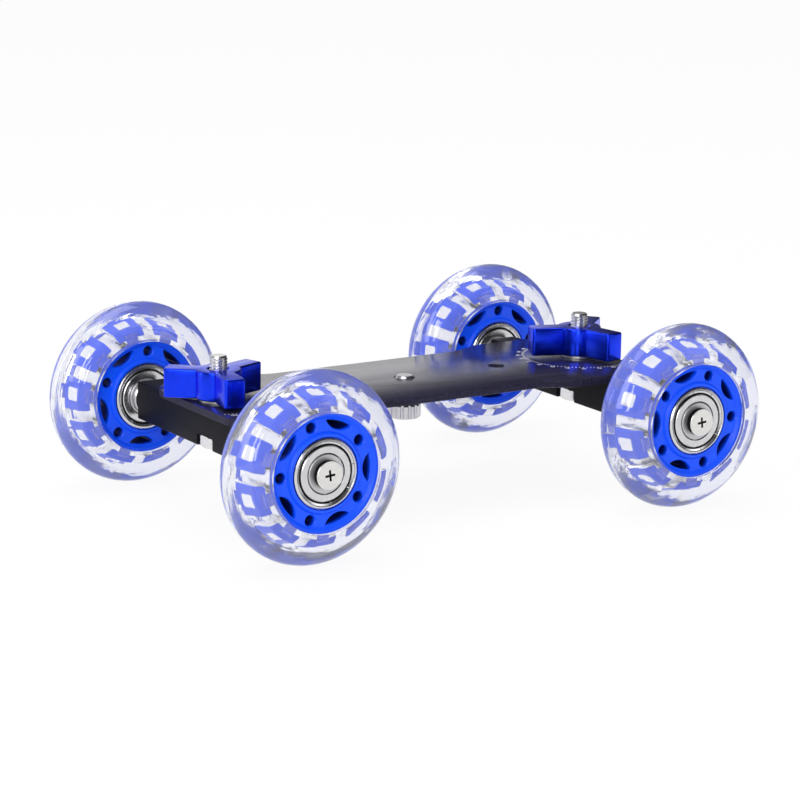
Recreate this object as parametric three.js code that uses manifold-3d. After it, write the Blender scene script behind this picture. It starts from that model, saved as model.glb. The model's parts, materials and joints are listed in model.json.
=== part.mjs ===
// Camera skater dolly: a flat deck on two swivelling trucks, each with two clear roller wheels.
// Millimetres. X runs along the deck, Y runs to the back, Z is up and the floor is at Z = 0.
// The origin is on the floor under the middle of the deck.
import * as THREE from 'three';
import { mergeVertices } from 'three/addons/utils/BufferGeometryUtils.js';
import Module from 'manifold-3d';

const wasm = await Module();
wasm.setup();
const rad = THREE.MathUtils.degToRad;

// Deck
const PIVOT_SPACING = 140.5;
const DECK_THICKNESS = 2.5;
const DECK_OVERHANG = 9.25; // past each pivot
const DECK_END_WIDTH = 62;
const DECK_WAIST_WIDTH = 52;
const DECK_WAIST_LENGTH = 70;
const DECK_FLARE_LENGTH = 15; // from the waist to the full width
const DECK_CORNER_RADIUS = 11;
const ACCESSORY_HOLE_RADIUS = 2.75;
const ACCESSORY_HOLE_SPACING = 73;

// Trucks
const BAR_WIDTH = 10;
const BAR_HEIGHT = 12.6;
const BAR_LENGTH = 93;
const BAR_CHAMFER = 0.5;
const BOLT_RADIUS = 2.95;
const BOLT_CHAMFER = 0.5;
const BOLT_STAND_OUT = 4.4; // above the knob
const BOLT_HEAD_FLATS = 10;
const BOLT_HEAD_HEIGHT = 3.9;
const BOLT_HEAD_CHAMFER = 0.8;
const SLOT_CLEARANCE = 0.2;

// Star knobs and their washers
const KNOB_WASHER_RADIUS = 6;
const KNOB_WASHER_THICKNESS = 1;
const KNOB_REACH = 17.2;
const KNOB_ARM_WIDTH = 7;
const KNOB_HUB_RADIUS = 7.5;
const KNOB_HEIGHT = 9.5;
const KNOB_CORNER = 0.9;
const KNOB_EDGE = 0.6;
const KNOB_ARMS = 3;
const KNOB_ANGLE = { left: 139.5, right: 160.8 };

// Camera screw
const CAMERA_THREAD_RADIUS = 3.175;
const CAMERA_THREAD_CHAMFER = 0.6;
const CAMERA_THREAD_STAND_OUT = 0.8; // above the deck, when parked
const CAMERA_SCREW_DROP = 6; // from the deck to its head, when parked
const CAMERA_HEAD_RADIUS = 5.5;
const CAMERA_HEAD_HEIGHT = 4.8;
const CAMERA_HEAD_CHAMFER = 0.5;
const CAMERA_HEAD_RIBS = 14;
const CAMERA_RIB_DEPTH = 0.35;
const CAMERA_WASHER_RADIUS = 5.8;
const CAMERA_WASHER_THICKNESS = 1.2;

// Wheels: a clear tyre cast round a core with mushroom blocks
const TYRE_DEPTH = 11.85; // from the core's rim to the crown
const TYRE_EDGE_HALF_WIDTH = 10.2;
const TYRE_EDGE_ANGLE = 59.2; // where the oval section of the tyre ends at its lip
const TYRE_LIP = 0.5; // flat, beside the core
const CORE_RADIUS = 18.85;
const CORE_HALF_WIDTH = 8.75;
const CORE_WEB_HALF_WIDTH = 7.9;
const CORE_RIM_THICKNESS = 1.2;
const CORE_BOSS_WALL = 1.3;
const CORE_BOSS_HALF_WIDTH = 8.9;
const CORE_SHOULDER = 1.4; // radial step that the bearings sit against
const CORE_CHAMFER = 0.5;
const BLOCK_COUNT = 10;
const BLOCK_NECK_WIDTH = 4.6;
const BLOCK_NECK_SHARE = 0.21097; // height of a neck, of the tyre's depth
const BLOCK_HEAD_SHARE = 0.35443;
const BLOCK_GAP = 3.2; // between neighbouring heads
const BLOCK_HALF_WIDTH = 6;
const CAST_GAP = 0.25; // between the tyre and the core
const CORE_SLOT_LENGTH = 9.2;
const CORE_SLOT_DEPTH_SHARE = 0.580155; // of the web's width, as the next two are
const CORE_SLOT_EDGE_SHARE = 0.247103; // from the rim to a slot
const CORE_HOLE_SHARE = 0.365282; // radius of a round hole
const WHEEL_PHASES = { front_left: 144.4, front_right: 109.8, back_left: 13.1, back_right: 14.3 };

// Bearings
const BEARING_RADIUS = 11;
const BEARING_BORE_RADIUS = 4;
const BEARING_WIDTH = 7;
const BEARING_INNER_LAND_SHARE = 0.31; // of the way from the bore to the outside
const BEARING_OUTER_LAND_SHARE = 0.77;
const BALL_SHARE = 0.54; // ball diameter, of the same distance
const BALL_COUNT = 7;
const SHIELD_RECESS = 0.45;
const SHIELD_THICKNESS = 0.4;
const SHIELD_GAP = 0.12;
const BALL_CLEARANCE = 0.1;
const CAGE_THICKNESS = 0.6;

// Axles
const AXLE_SCREW_RADIUS = 2.5;
const AXLE_SCREW_GRIP = 14; // length inside the truck bar
const AXLE_HOLE_RUN_OUT = 2;
const AXLE_HEAD_RADIUS = 4.6;
const AXLE_HEAD_HEIGHT = 2.3;
const BEARING_SPACING = 4.6;
const SPACER_RADIUS = 5.7; // small enough to touch only the inner rings
const AXLE_SPACER_LENGTH = 2.6;

// Fits
const SEAT_GAP = 0.06; // between round pieces that don't turn in each other
const RUNNING_GAP = 0.06; // between round pieces that do
const HOLE_GAP = 0.25; // a plain hole round a bolt
const OVERRUN = 1; // how far a cut runs past the solid
const OVERLAP = 0.4; // how far joined solids reach into each other

// Sides of round shapes
const TYRE_SIDES = 28;
const CORE_SIDES = 20;
const BEARING_SIDES = 10;
const SHAFT_SIDES = 12;
const HOLE_SIDES = 6;
const HEX_SIDES = 6;
const CAGE_SIDES = 4;
const CROWN_STEPS = 6;
const CORNER_STEPS = 4;

const BLACK = { color: 0x101013, roughness: 0.3, metalness: 0.8 };
const BLUE_ANODISED = { color: 0x0b2fb8, roughness: 0.35, metalness: 0.7 };
const BLUE_MOULDED = { color: 0x1550e0, roughness: 0.4, metalness: 0 };
const CLEAR = { color: 0xe6eaf6, roughness: 0.08, metalness: 0, transparent: true, opacity: 0.35 };
const STEEL = { color: 0xb9b9bd, roughness: 0.25, metalness: 1 };
const NYLON = { color: 0x17171a, roughness: 0.6, metalness: 0 };

const TYRE_RADIUS = CORE_RADIUS + TYRE_DEPTH;
const BLOCK_NECK_HEIGHT = BLOCK_NECK_SHARE * TYRE_DEPTH;
const BLOCK_HEAD_HEIGHT = BLOCK_HEAD_SHARE * TYRE_DEPTH;
const AXLE_Z = TYRE_RADIUS;
const DECK_BOTTOM_Z = AXLE_Z + BAR_HEIGHT / 2;
const DECK_TOP_Z = DECK_BOTTOM_Z + DECK_THICKNESS;
const KNOB_BOTTOM_Z = DECK_TOP_Z + KNOB_WASHER_THICKNESS;
const WHEEL_OFFSET = BAR_LENGTH / 2 + AXLE_SPACER_LENGTH + BEARING_WIDTH + BEARING_SPACING / 2;

// Radius to the corners of a polygon whose flats keep clear of a turning shaft
const cornerRadius = (radius, sides) => radius / Math.cos(Math.PI / sides);
const runningBore = (shaft, sides) => cornerRadius(shaft + RUNNING_GAP, sides);

// A closed solid of a geometry, whatever way its faces wind
function solidOf(geometry) {
  const bare = new THREE.BufferGeometry();
  bare.setAttribute('position', geometry.getAttribute('position').clone());
  if (geometry.index) bare.setIndex(geometry.index.clone());
  const merged = mergeVertices(bare);
  const corners = [];
  for (let i = 0; i < merged.index.count; i += 3) {
    const [a, b, c] = [0, 1, 2].map((k) => merged.index.getX(i + k));
    if (a !== b && b !== c && c !== a) corners.push(a, b, c);
  }
  return new wasm.Manifold(new wasm.Mesh({
    numProp: 3,
    vertProperties: new Float32Array(merged.getAttribute('position').array),
    triVerts: new Uint32Array(corners),
  }));
}

function geometryOf(solid) {
  const mesh = solid.getMesh();
  const geometry = new THREE.BufferGeometry();
  geometry.setAttribute('position', new THREE.BufferAttribute(new Float32Array(mesh.vertProperties), 3));
  geometry.setIndex(new THREE.BufferAttribute(new Uint32Array(mesh.triVerts), 1));
  return geometry;
}

const cut = (body, ...tools) => tools.reduce((left, tool) => left.subtract(tool), body);
const join = (body, ...more) => more.reduce((sum, next) => sum.add(next), body);

// A closed profile of [radius, height] points, turned round the Y axis
function turned(profile, sides, start = 0) {
  const points = [...profile, profile[0]].map(([radius, height]) => new THREE.Vector2(radius, height));
  return new THREE.LatheGeometry(points, sides, start);
}

// The same, turned round the Z axis
const turnedUpright = (profile, sides) => turned(profile, sides).rotateX(Math.PI / 2);

// A flat outline of [x, y] points, given thickness along Z
function plate(outline, height, options = {}) {
  const shape = new THREE.Shape(outline.map(([x, y]) => new THREE.Vector2(x, y)));
  return new THREE.ExtrudeGeometry(shape, { depth: height, bevelEnabled: false, ...options });
}

// The same with its two edges chamfered, inside the outline and the height
function chamferedPlate(outline, height, chamfer) {
  const bevel = { bevelEnabled: true, bevelSegments: 1, bevelSize: chamfer, bevelThickness: chamfer };
  const flat = plate(outline, height - 2 * chamfer, { ...bevel, bevelOffset: -chamfer });
  return flat.translate(0, 0, chamfer);
}

const polar = (radius, angle) => [radius * Math.cos(angle), radius * Math.sin(angle)];

function arcPoints(radius, from, to, steps) {
  return Array.from({ length: steps + 1 }, (_, i) => polar(radius, from + ((to - from) * i) / steps));
}

const polygon = (radius, sides) => arcPoints(radius, 0, 2 * Math.PI, sides).slice(0, -1);

const turnPoint = ([x, y], angle) => [
  x * Math.cos(angle) - y * Math.sin(angle),
  x * Math.sin(angle) + y * Math.cos(angle),
];

// A round shaft from bottom to top with a chamfered tip
function shaft(radius, bottom, top, chamfer) {
  return [[0, bottom], [radius, bottom], [radius, top - chamfer], [radius - chamfer, top], [0, top]];
}

// A ring of rectangular section
const ring = (inner, outer, bottom, top) => [[inner, bottom], [outer, bottom], [outer, top], [inner, top]];

function circlePath(x, y, radius, sides) {
  const points = polygon(radius, sides).map(([px, py]) => new THREE.Vector2(x + px, y + py));
  return new THREE.Path(points);
}

// Deck: straight ends, rounded corners and a waist that clears the wheels when a truck is turned
function deckPlate() {
  const end = PIVOT_SPACING / 2 + DECK_OVERHANG;
  const full = DECK_END_WIDTH / 2;
  const waist = DECK_WAIST_WIDTH / 2;
  const near = DECK_WAIST_LENGTH / 2;
  const far = near + DECK_FLARE_LENGTH;
  const middle = (near + far) / 2;
  const corner = end - DECK_CORNER_RADIUS;
  const inset = full - DECK_CORNER_RADIUS;
  const outline = new THREE.Shape();
  outline.moveTo(-near, -waist);
  outline.lineTo(near, -waist);
  outline.bezierCurveTo(middle, -waist, middle, -full, far, -full);
  outline.lineTo(corner, -full);
  outline.absarc(corner, -inset, DECK_CORNER_RADIUS, -Math.PI / 2, 0, false);
  outline.absarc(corner, inset, DECK_CORNER_RADIUS, 0, Math.PI / 2, false);
  outline.lineTo(far, full);
  outline.bezierCurveTo(middle, full, middle, waist, near, waist);
  outline.lineTo(-near, waist);
  outline.bezierCurveTo(-middle, waist, -middle, full, -far, full);
  outline.lineTo(-corner, full);
  outline.absarc(-corner, inset, DECK_CORNER_RADIUS, Math.PI / 2, Math.PI, false);
  outline.absarc(-corner, -inset, DECK_CORNER_RADIUS, Math.PI, 1.5 * Math.PI, false);
  outline.lineTo(-far, -full);
  outline.bezierCurveTo(-middle, -full, -middle, -waist, -near, -waist);
  outline.holes.push(circlePath(0, 0, runningBore(CAMERA_THREAD_RADIUS, SHAFT_SIDES), SHAFT_SIDES));
  for (const side of [-1, 1]) {
    const pivot = (side * PIVOT_SPACING) / 2;
    const accessory = (side * ACCESSORY_HOLE_SPACING) / 2;
    outline.holes.push(circlePath(pivot, 0, runningBore(BOLT_RADIUS, SHAFT_SIDES), SHAFT_SIDES));
    outline.holes.push(circlePath(accessory, 0, ACCESSORY_HOLE_RADIUS, SHAFT_SIDES));
  }
  const options = { depth: DECK_THICKNESS, bevelEnabled: false, curveSegments: CORNER_STEPS };
  return new THREE.ExtrudeGeometry(outline, options).translate(0, 0, DECK_BOTTOM_Z);
}

// Camera screw: a serrated head below the deck and a thread that stands a little out of its top
function cameraScrew() {
  const headTop = DECK_BOTTOM_Z - CAMERA_SCREW_DROP;
  const headBottom = headTop - CAMERA_HEAD_HEIGHT;
  const tip = DECK_TOP_Z + CAMERA_THREAD_STAND_OUT;
  const outline = polygon(CAMERA_HEAD_RADIUS, 2 * CAMERA_HEAD_RIBS).map(([x, y], i) => {
    const scale = i % 2 ? 1 - CAMERA_RIB_DEPTH / CAMERA_HEAD_RADIUS : 1;
    return [x * scale, y * scale];
  });
  const head = chamferedPlate(outline, CAMERA_HEAD_HEIGHT, CAMERA_HEAD_CHAMFER).translate(0, 0, headBottom);
  const thread = shaft(CAMERA_THREAD_RADIUS, headTop - OVERLAP, tip, CAMERA_THREAD_CHAMFER);
  return geometryOf(join(solidOf(head), solidOf(turnedUpright(thread, SHAFT_SIDES))));
}

function cameraWasher() {
  const bottom = DECK_BOTTOM_Z - CAMERA_SCREW_DROP;
  const bore = runningBore(CAMERA_THREAD_RADIUS, SHAFT_SIDES);
  const top = bottom + CAMERA_WASHER_THICKNESS;
  return turnedUpright(ring(bore, CAMERA_WASHER_RADIUS, bottom, top), SHAFT_SIDES);
}

// Truck bar, with a slot across its bottom that keeps the bolt head from turning
function truckBar() {
  const [w, h, c] = [BAR_WIDTH / 2, BAR_HEIGHT / 2, BAR_CHAMFER];
  const section = [
    [-w + c, -h], [w - c, -h], [w, -h + c], [w, h - c],
    [w - c, h], [-w + c, h], [-w, h - c], [-w, -h + c],
  ];
  const bar = plate(section, BAR_LENGTH).translate(0, 0, -BAR_LENGTH / 2).rotateX(Math.PI / 2);
  const boltHole = shaft(BOLT_RADIUS + HOLE_GAP, -h - OVERRUN, h + OVERRUN, 0);
  const axleHole = shaft(AXLE_SCREW_RADIUS + SEAT_GAP, BAR_LENGTH / 2 - AXLE_SCREW_GRIP - AXLE_HOLE_RUN_OUT,
    BAR_LENGTH / 2 + OVERRUN, 0);
  const axleCut = solidOf(turned(axleHole, BEARING_SIDES));
  const holes = [solidOf(turnedUpright(boltHole, SHAFT_SIDES)), axleCut, axleCut.rotate([0, 0, 180])];
  return geometryOf(cut(solidOf(bar), slotTool(), ...holes));
}

// What the milling cutter takes out of the bottom of the bar
function slotTool() {
  const half = BOLT_HEAD_FLATS / 2 + SLOT_CLEARANCE;
  const floor = -BAR_HEIGHT / 2 - OVERRUN;
  const top = -BAR_HEIGHT / 2 + BOLT_HEAD_HEIGHT;
  const r = SLOT_CLEARANCE + BOLT_HEAD_CHAMFER;
  const corner = arcPoints(r, 0, Math.PI / 2, 3).map(([y, z]) => [y + half - r, z + top - r]);
  const mirrored = corner.map(([y, z]) => [-y, z]).reverse();
  const section = [[-half, floor], [half, floor], ...corner, ...mirrored];
  const length = BAR_WIDTH + 2 * OVERRUN;
  const tool = plate(section, length).translate(0, 0, -length / 2);
  return solidOf(tool.rotateX(Math.PI / 2).rotateZ(Math.PI / 2));
}

// Pivot bolt: its head lies in the slot, its thread stands out of the knob
function pivotBolt() {
  const headTop = -BAR_HEIGHT / 2 + BOLT_HEAD_HEIGHT;
  const tip = KNOB_BOTTOM_Z + KNOB_HEIGHT + BOLT_STAND_OUT - AXLE_Z;
  const hexagon = polygon(cornerRadius(BOLT_HEAD_FLATS / 2, HEX_SIDES), HEX_SIDES);
  const head = chamferedPlate(hexagon, BOLT_HEAD_HEIGHT, BOLT_HEAD_CHAMFER);
  head.translate(0, 0, -BAR_HEIGHT / 2);
  const thread = shaft(BOLT_RADIUS, headTop - OVERLAP, tip, BOLT_CHAMFER);
  return geometryOf(join(solidOf(head), solidOf(turnedUpright(thread, SHAFT_SIDES))));
}

function knobWasher() {
  const bore = runningBore(BOLT_RADIUS, SHAFT_SIDES);
  return turnedUpright(ring(bore, KNOB_WASHER_RADIUS, DECK_TOP_Z, KNOB_BOTTOM_Z), SHAFT_SIDES);
}

// Star knob: straight arms that grow out of a round hub
function starKnob(angle) {
  const half = KNOB_ARM_WIDTH / 2;
  const root = Math.sqrt(KNOB_HUB_RADIUS ** 2 - half ** 2);
  const arm = [
    [root, -half], [KNOB_REACH - KNOB_CORNER, -half], [KNOB_REACH, -half + KNOB_CORNER],
    [KNOB_REACH, half - KNOB_CORNER], [KNOB_REACH - KNOB_CORNER, half],
  ];
  const pitch = (2 * Math.PI) / KNOB_ARMS;
  const rootAngle = Math.atan2(half, root);
  const between = arcPoints(KNOB_HUB_RADIUS, rootAngle, pitch - rootAngle, CORNER_STEPS).slice(0, -1);
  const outline = [];
  for (let k = 0; k < KNOB_ARMS; k += 1) {
    outline.push(...[...arm, ...between].map((point) => turnPoint(point, angle + k * pitch)));
  }
  const body = solidOf(chamferedPlate(outline, KNOB_HEIGHT, KNOB_EDGE));
  const bore = shaft(runningBore(BOLT_RADIUS, SHAFT_SIDES), -OVERRUN, KNOB_HEIGHT + OVERRUN, 0);
  return geometryOf(cut(body, solidOf(turnedUpright(bore, SHAFT_SIDES)))).translate(0, 0, KNOB_BOTTOM_Z);
}

// Wheel shapes turn round Y, with the middle of the wheel at the origin and +Y outboard.

// Start of a turned shape that has the middle of a facet at an angle, measured from +X to +Z
const facetAt = (angle, sides) => Math.PI / 2 - angle - Math.PI / sides;

// An outline in the wheel's plane, given width along the axle
function acrossWheel(outline, halfWidth) {
  return solidOf(plate(outline, 2 * halfWidth).translate(0, 0, -halfWidth).rotateX(Math.PI / 2));
}

// One block, centred on +X: a neck on the rim and a head whose sides run along the gaps beside it
function blockOutline(grow) {
  const neck = BLOCK_NECK_WIDTH / 2 + grow;
  const headBottom = CORE_RADIUS + BLOCK_NECK_HEIGHT - grow;
  const headTop = CORE_RADIUS + BLOCK_NECK_HEIGHT + BLOCK_HEAD_HEIGHT + grow;
  const wall = BLOCK_GAP / 2 - grow;
  const toGap = Math.PI / BLOCK_COUNT;
  const corner = (radius) => toGap - Math.asin(wall / radius);
  const right = [
    [CORE_RADIUS - OVERLAP - grow, neck],
    [Math.sqrt(headBottom ** 2 - neck ** 2), neck],
    polar(headBottom, corner(headBottom)),
    ...arcPoints(headTop, corner(headTop), 0, 1),
  ];
  const left = right.slice(0, -1).map(([x, y]) => [x, -y]).reverse();
  return [...right, ...left].reverse();
}

function blocks(phase, grow) {
  return Array.from({ length: BLOCK_COUNT }, (_, k) => {
    const angle = phase + ((k + 0.5) * 2 * Math.PI) / BLOCK_COUNT;
    const outline = blockOutline(grow).map((point) => turnPoint(point, angle));
    return acrossWheel(outline, BLOCK_HALF_WIDTH + grow);
  });
}

// Tyre: the oval section of a roller wheel with a flat lip, cast round the core's rim and blocks
function tyre(phase) {
  const edge = rad(TYRE_EDGE_ANGLE);
  const bulge = TYRE_EDGE_HALF_WIDTH / Math.sin(edge);
  const bore = CORE_RADIUS + CAST_GAP;
  const lip = bore + TYRE_LIP;
  const depth = (TYRE_RADIUS - lip) / (1 - Math.cos(edge));
  const crown = Array.from({ length: CROWN_STEPS + 1 }, (_, i) => {
    const angle = edge * ((2 * i) / CROWN_STEPS - 1);
    const radius = TYRE_RADIUS - depth * (1 - Math.cos(angle));
    return [cornerRadius(radius, TYRE_SIDES), bulge * Math.sin(angle)];
  });
  const profile = [[0, -TYRE_EDGE_HALF_WIDTH], ...crown, [0, TYRE_EDGE_HALF_WIDTH]];
  const disc = solidOf(turned(profile, TYRE_SIDES, facetAt(-Math.PI / 2, TYRE_SIDES)));
  const hole = ring(0, cornerRadius(bore, CORE_SIDES), -TYRE_EDGE_HALF_WIDTH - OVERRUN,
    TYRE_EDGE_HALF_WIDTH + OVERRUN);
  const rim = solidOf(turned(hole, CORE_SIDES, facetAt(phase, CORE_SIDES)));
  return geometryOf(cut(disc, rim, ...blocks(phase, CAST_GAP)));
}

// The web between the boss and the rim of a core
const CORE_SEAT_RADIUS = BEARING_RADIUS + SEAT_GAP;
const CORE_BOSS_RADIUS = cornerRadius(CORE_SEAT_RADIUS + CORE_BOSS_WALL, BEARING_SIDES);
const CORE_RIM_INNER_RADIUS = CORE_RADIUS - CORE_RIM_THICKNESS;
const CORE_WEB = CORE_RIM_INNER_RADIUS - CORE_BOSS_RADIUS;
const CORE_SLOT_DEPTH = CORE_SLOT_DEPTH_SHARE * CORE_WEB;
const CORE_SLOT_OUTER_RADIUS = CORE_RIM_INNER_RADIUS - CORE_SLOT_EDGE_SHARE * CORE_WEB;

// A lens-shaped slot on +X, curved with the rim outside and bulging to the hub inside
function coreSlotOutline() {
  const half = Math.asin(CORE_SLOT_LENGTH / 2 / CORE_SLOT_OUTER_RADIUS);
  const outer = arcPoints(CORE_SLOT_OUTER_RADIUS, -half, half, 2);
  const bulge = arcPoints(1, 0, Math.PI, 4).slice(1, -1);
  const inner = bulge.map(([along, depth]) => polar(
    CORE_SLOT_OUTER_RADIUS - CORE_SLOT_DEPTH * depth,
    half * along,
  ));
  return [...outer, ...inner];
}

// Core: rim, web with five holes and five slots, boss with a seat for each bearing, blocks outside
function wheelCore(phase) {
  const seat = CORE_SEAT_RADIUS;
  const boss = CORE_BOSS_RADIUS;
  const shoulder = BEARING_RADIUS - CORE_SHOULDER;
  const flange = BEARING_SPACING / 2 - SEAT_GAP;
  const rimInner = CORE_RIM_INNER_RADIUS;
  const rim = [
    [seat + CORE_BOSS_WALL / 2, CORE_WEB_HALF_WIDTH], [rimInner - CORE_CHAMFER, CORE_WEB_HALF_WIDTH],
    [rimInner, CORE_HALF_WIDTH], [CORE_RADIUS, CORE_HALF_WIDTH],
  ];
  const hub = [
    [shoulder, flange], [seat, flange], [seat, CORE_BOSS_HALF_WIDTH],
    [boss, CORE_BOSS_HALF_WIDTH], [boss + CORE_CHAMFER, CORE_WEB_HALF_WIDTH - OVERLAP],
  ];
  const rimRing = solidOf(mirroredRing(rim, CORE_SIDES, facetAt(phase, CORE_SIDES)));
  const body = join(rimRing, solidOf(mirroredRing(hub, BEARING_SIDES)), ...blocks(phase, 0));
  const holeRadius = CORE_SLOT_OUTER_RADIUS - CORE_SLOT_DEPTH / 2;
  const period = (4 * Math.PI) / BLOCK_COUNT;
  const tools = [];
  for (let k = 0; k < BLOCK_COUNT / 2; k += 1) {
    const hole = polygon(CORE_HOLE_SHARE * CORE_WEB, HOLE_SIDES).map(([x, y]) => [x + holeRadius, y]);
    const angle = phase + k * period;
    tools.push(acrossWheel(hole.map((point) => turnPoint(point, angle)), CORE_HALF_WIDTH + OVERRUN));
    const slot = coreSlotOutline().map((point) => turnPoint(point, angle + period / 2));
    tools.push(acrossWheel(slot, CORE_HALF_WIDTH + OVERRUN));
  }
  return geometryOf(cut(body, ...tools));
}

// A ring whose profile is the given upper half, from its bore to its outside, and its mirror image
function mirroredRing(upper, sides, start = 0) {
  const lower = upper.filter(([, y]) => y > 0).map(([radius, y]) => [radius, -y]);
  return turned([...lower, ...upper.reverse()], sides, start);
}

const landRadius = (share) => BEARING_BORE_RADIUS + share * (BEARING_RADIUS - BEARING_BORE_RADIUS);
const BALL_RADIUS = (BALL_SHARE * (BEARING_RADIUS - BEARING_BORE_RADIUS)) / 2;
const PITCH_RADIUS = (BEARING_RADIUS + BEARING_BORE_RADIUS) / 2;

// Outer ring with its race, open on one side and with a metal shield rolled into the other, at +Y
function bearingOuterRing() {
  const half = BEARING_WIDTH / 2;
  const land = cornerRadius(landRadius(BEARING_OUTER_LAND_SHARE), BEARING_SIDES);
  const race = cornerRadius(PITCH_RADIUS + BALL_RADIUS + BALL_CLEARANCE, BEARING_SIDES);
  const lip = cornerRadius(landRadius(BEARING_INNER_LAND_SHARE) + SHIELD_GAP, BEARING_SIDES);
  const face = half - SHIELD_RECESS;
  const back = face - SHIELD_THICKNESS;
  return turned([
    [BEARING_RADIUS, -half], [BEARING_RADIUS, half], [land, half], [land, face], [lip, face],
    [lip, back], [land, back], [race, 0], [land, -half],
  ], BEARING_SIDES);
}

function bearingInnerRing() {
  const half = BEARING_WIDTH / 2;
  const land = landRadius(BEARING_INNER_LAND_SHARE);
  const race = PITCH_RADIUS - BALL_RADIUS - BALL_CLEARANCE;
  return turned([
    [BEARING_BORE_RADIUS, -half], [land, -half], [race, 0], [land, half], [BEARING_BORE_RADIUS, half],
  ], BEARING_SIDES);
}

// Balls in their cage, as one ring whose section swells at each ball
function ballCage() {
  const thin = CAGE_THICKNESS / 2;
  const reach = Math.sqrt(BALL_RADIUS ** 2 - thin ** 2);
  const stations = [];
  for (let k = 0; k < BALL_COUNT; k += 1) {
    for (const [along, size] of [[-reach, thin], [0, BALL_RADIUS], [reach, thin]]) {
      stations.push({ angle: (2 * Math.PI * k) / BALL_COUNT + along / PITCH_RADIUS, size });
    }
  }
  const positions = [];
  for (const { angle, size } of stations) {
    for (const [out, across] of polygon(size, CAGE_SIDES)) {
      const radius = PITCH_RADIUS + out;
      positions.push(radius * Math.cos(angle), across, radius * Math.sin(angle));
    }
  }
  const faces = [];
  stations.forEach((_, i) => {
    const next = (i + 1) % stations.length;
    for (let k = 0; k < CAGE_SIDES; k += 1) {
      const [a, b] = [k, (k + 1) % CAGE_SIDES].map((corner) => CAGE_SIDES * i + corner);
      const [c, d] = [k, (k + 1) % CAGE_SIDES].map((corner) => CAGE_SIDES * next + corner);
      faces.push(a, b, c, b, d, c);
    }
  });
  const geometry = new THREE.BufferGeometry();
  geometry.setAttribute('position', new THREE.Float32BufferAttribute(positions, 3));
  geometry.setIndex(faces);
  return geometry;
}

// Places along the axle, measured outboard from the middle of the wheel
const BEARING_CENTRE = (BEARING_SPACING + BEARING_WIDTH) / 2;
const BEARING_FACE = BEARING_CENTRE + BEARING_WIDTH / 2;
const BAR_END = BAR_LENGTH / 2 - WHEEL_OFFSET;

function axleScrew() {
  const shank = AXLE_SCREW_RADIUS;
  const head = AXLE_HEAD_RADIUS;
  const end = BAR_END - AXLE_SCREW_GRIP;
  const face = BEARING_FACE + AXLE_HEAD_HEIGHT;
  return turned([
    [0, end], [shank, end], [shank, BEARING_FACE], [head, BEARING_FACE], [head, face], [0, face],
  ], BEARING_SIDES);
}

function axleSleeve() {
  const bore = AXLE_SCREW_RADIUS + SEAT_GAP;
  return turned(ring(bore, BEARING_BORE_RADIUS - SEAT_GAP, BAR_END, BEARING_FACE), BEARING_SIDES);
}

function spacer(from, length) {
  return turned(ring(BEARING_BORE_RADIUS, SPACER_RADIUS, from, from + length), BEARING_SIDES);
}

function piece(name, geometry, look) {
  const material = new THREE.MeshStandardMaterial({ ...look, flatShading: true });
  material.name = name;
  const mesh = new THREE.Mesh(geometry, material);
  mesh.name = name;
  return mesh;
}

// One wheel with its bearings and axle, in its own frame, +Y outboard
function wheel(corner) {
  const group = new THREE.Group();
  const phase = rad(WHEEL_PHASES[corner]);
  group.add(piece(`tyre_${corner}`, tyre(phase), CLEAR));
  group.add(piece(`wheel_core_${corner}`, wheelCore(phase), BLUE_MOULDED));
  for (const [place, direction] of [['outboard', 1], ['inboard', -1]]) {
    const bearing = new THREE.Group();
    bearing.position.y = direction * BEARING_CENTRE;
    bearing.rotation.z = direction < 0 ? Math.PI : 0;
    bearing.add(piece(`${place}_outer_ring_${corner}`, bearingOuterRing(), STEEL));
    bearing.add(piece(`${place}_ball_cage_${corner}`, ballCage(), STEEL));
    bearing.add(piece(`${place}_inner_ring_${corner}`, bearingInnerRing(), STEEL));
    group.add(bearing);
  }
  group.add(piece(`bearing_spacer_${corner}`, spacer(-BEARING_SPACING / 2, BEARING_SPACING), STEEL));
  group.add(piece(`axle_spacer_${corner}`, spacer(BAR_END, AXLE_SPACER_LENGTH), STEEL));
  group.add(piece(`axle_sleeve_${corner}`, axleSleeve(), STEEL));
  group.add(piece(`axle_screw_${corner}`, axleScrew(), STEEL));
  return group;
}

// One truck at its pivot, with its bar, bolt, washer, knob and two wheels
function truck(side) {
  const group = new THREE.Group();
  const carriage = new THREE.Group();
  carriage.position.z = AXLE_Z;
  carriage.add(piece(`truck_bar_${side}`, truckBar(), BLACK));
  carriage.add(piece(`pivot_bolt_${side}`, pivotBolt(), STEEL));
  for (const [place, direction] of [['front', -1], ['back', 1]]) {
    const corner = wheel(`${place}_${side}`);
    corner.position.y = direction * WHEEL_OFFSET;
    corner.rotation.z = direction < 0 ? Math.PI : 0;
    carriage.add(corner);
  }
  group.add(carriage);
  group.add(piece(`knob_washer_${side}`, knobWasher(), STEEL));
  group.add(piece(`star_knob_${side}`, starKnob(rad(KNOB_ANGLE[side])), BLUE_ANODISED));
  return group;
}

const dolly = new THREE.Group();
dolly.add(piece('deck_plate', deckPlate(), BLACK));
dolly.add(piece('camera_screw', cameraScrew(), STEEL));
dolly.add(piece('camera_screw_washer', cameraWasher(), NYLON));
for (const [side, direction] of [['left', -1], ['right', 1]]) {
  const corner = truck(side);
  corner.position.x = (direction * PIVOT_SPACING) / 2;
  dolly.add(corner);
}

export default dolly;
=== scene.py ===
"""Looks of a camera skater dolly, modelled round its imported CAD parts.

Metres, in the frame of the CAD: X runs along the deck, Y to the back, Z up, the floor at Z = 0.
"""

import json
import math
from contextlib import contextmanager

import bmesh
import bpy
from mathutils import Matrix, Vector


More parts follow.
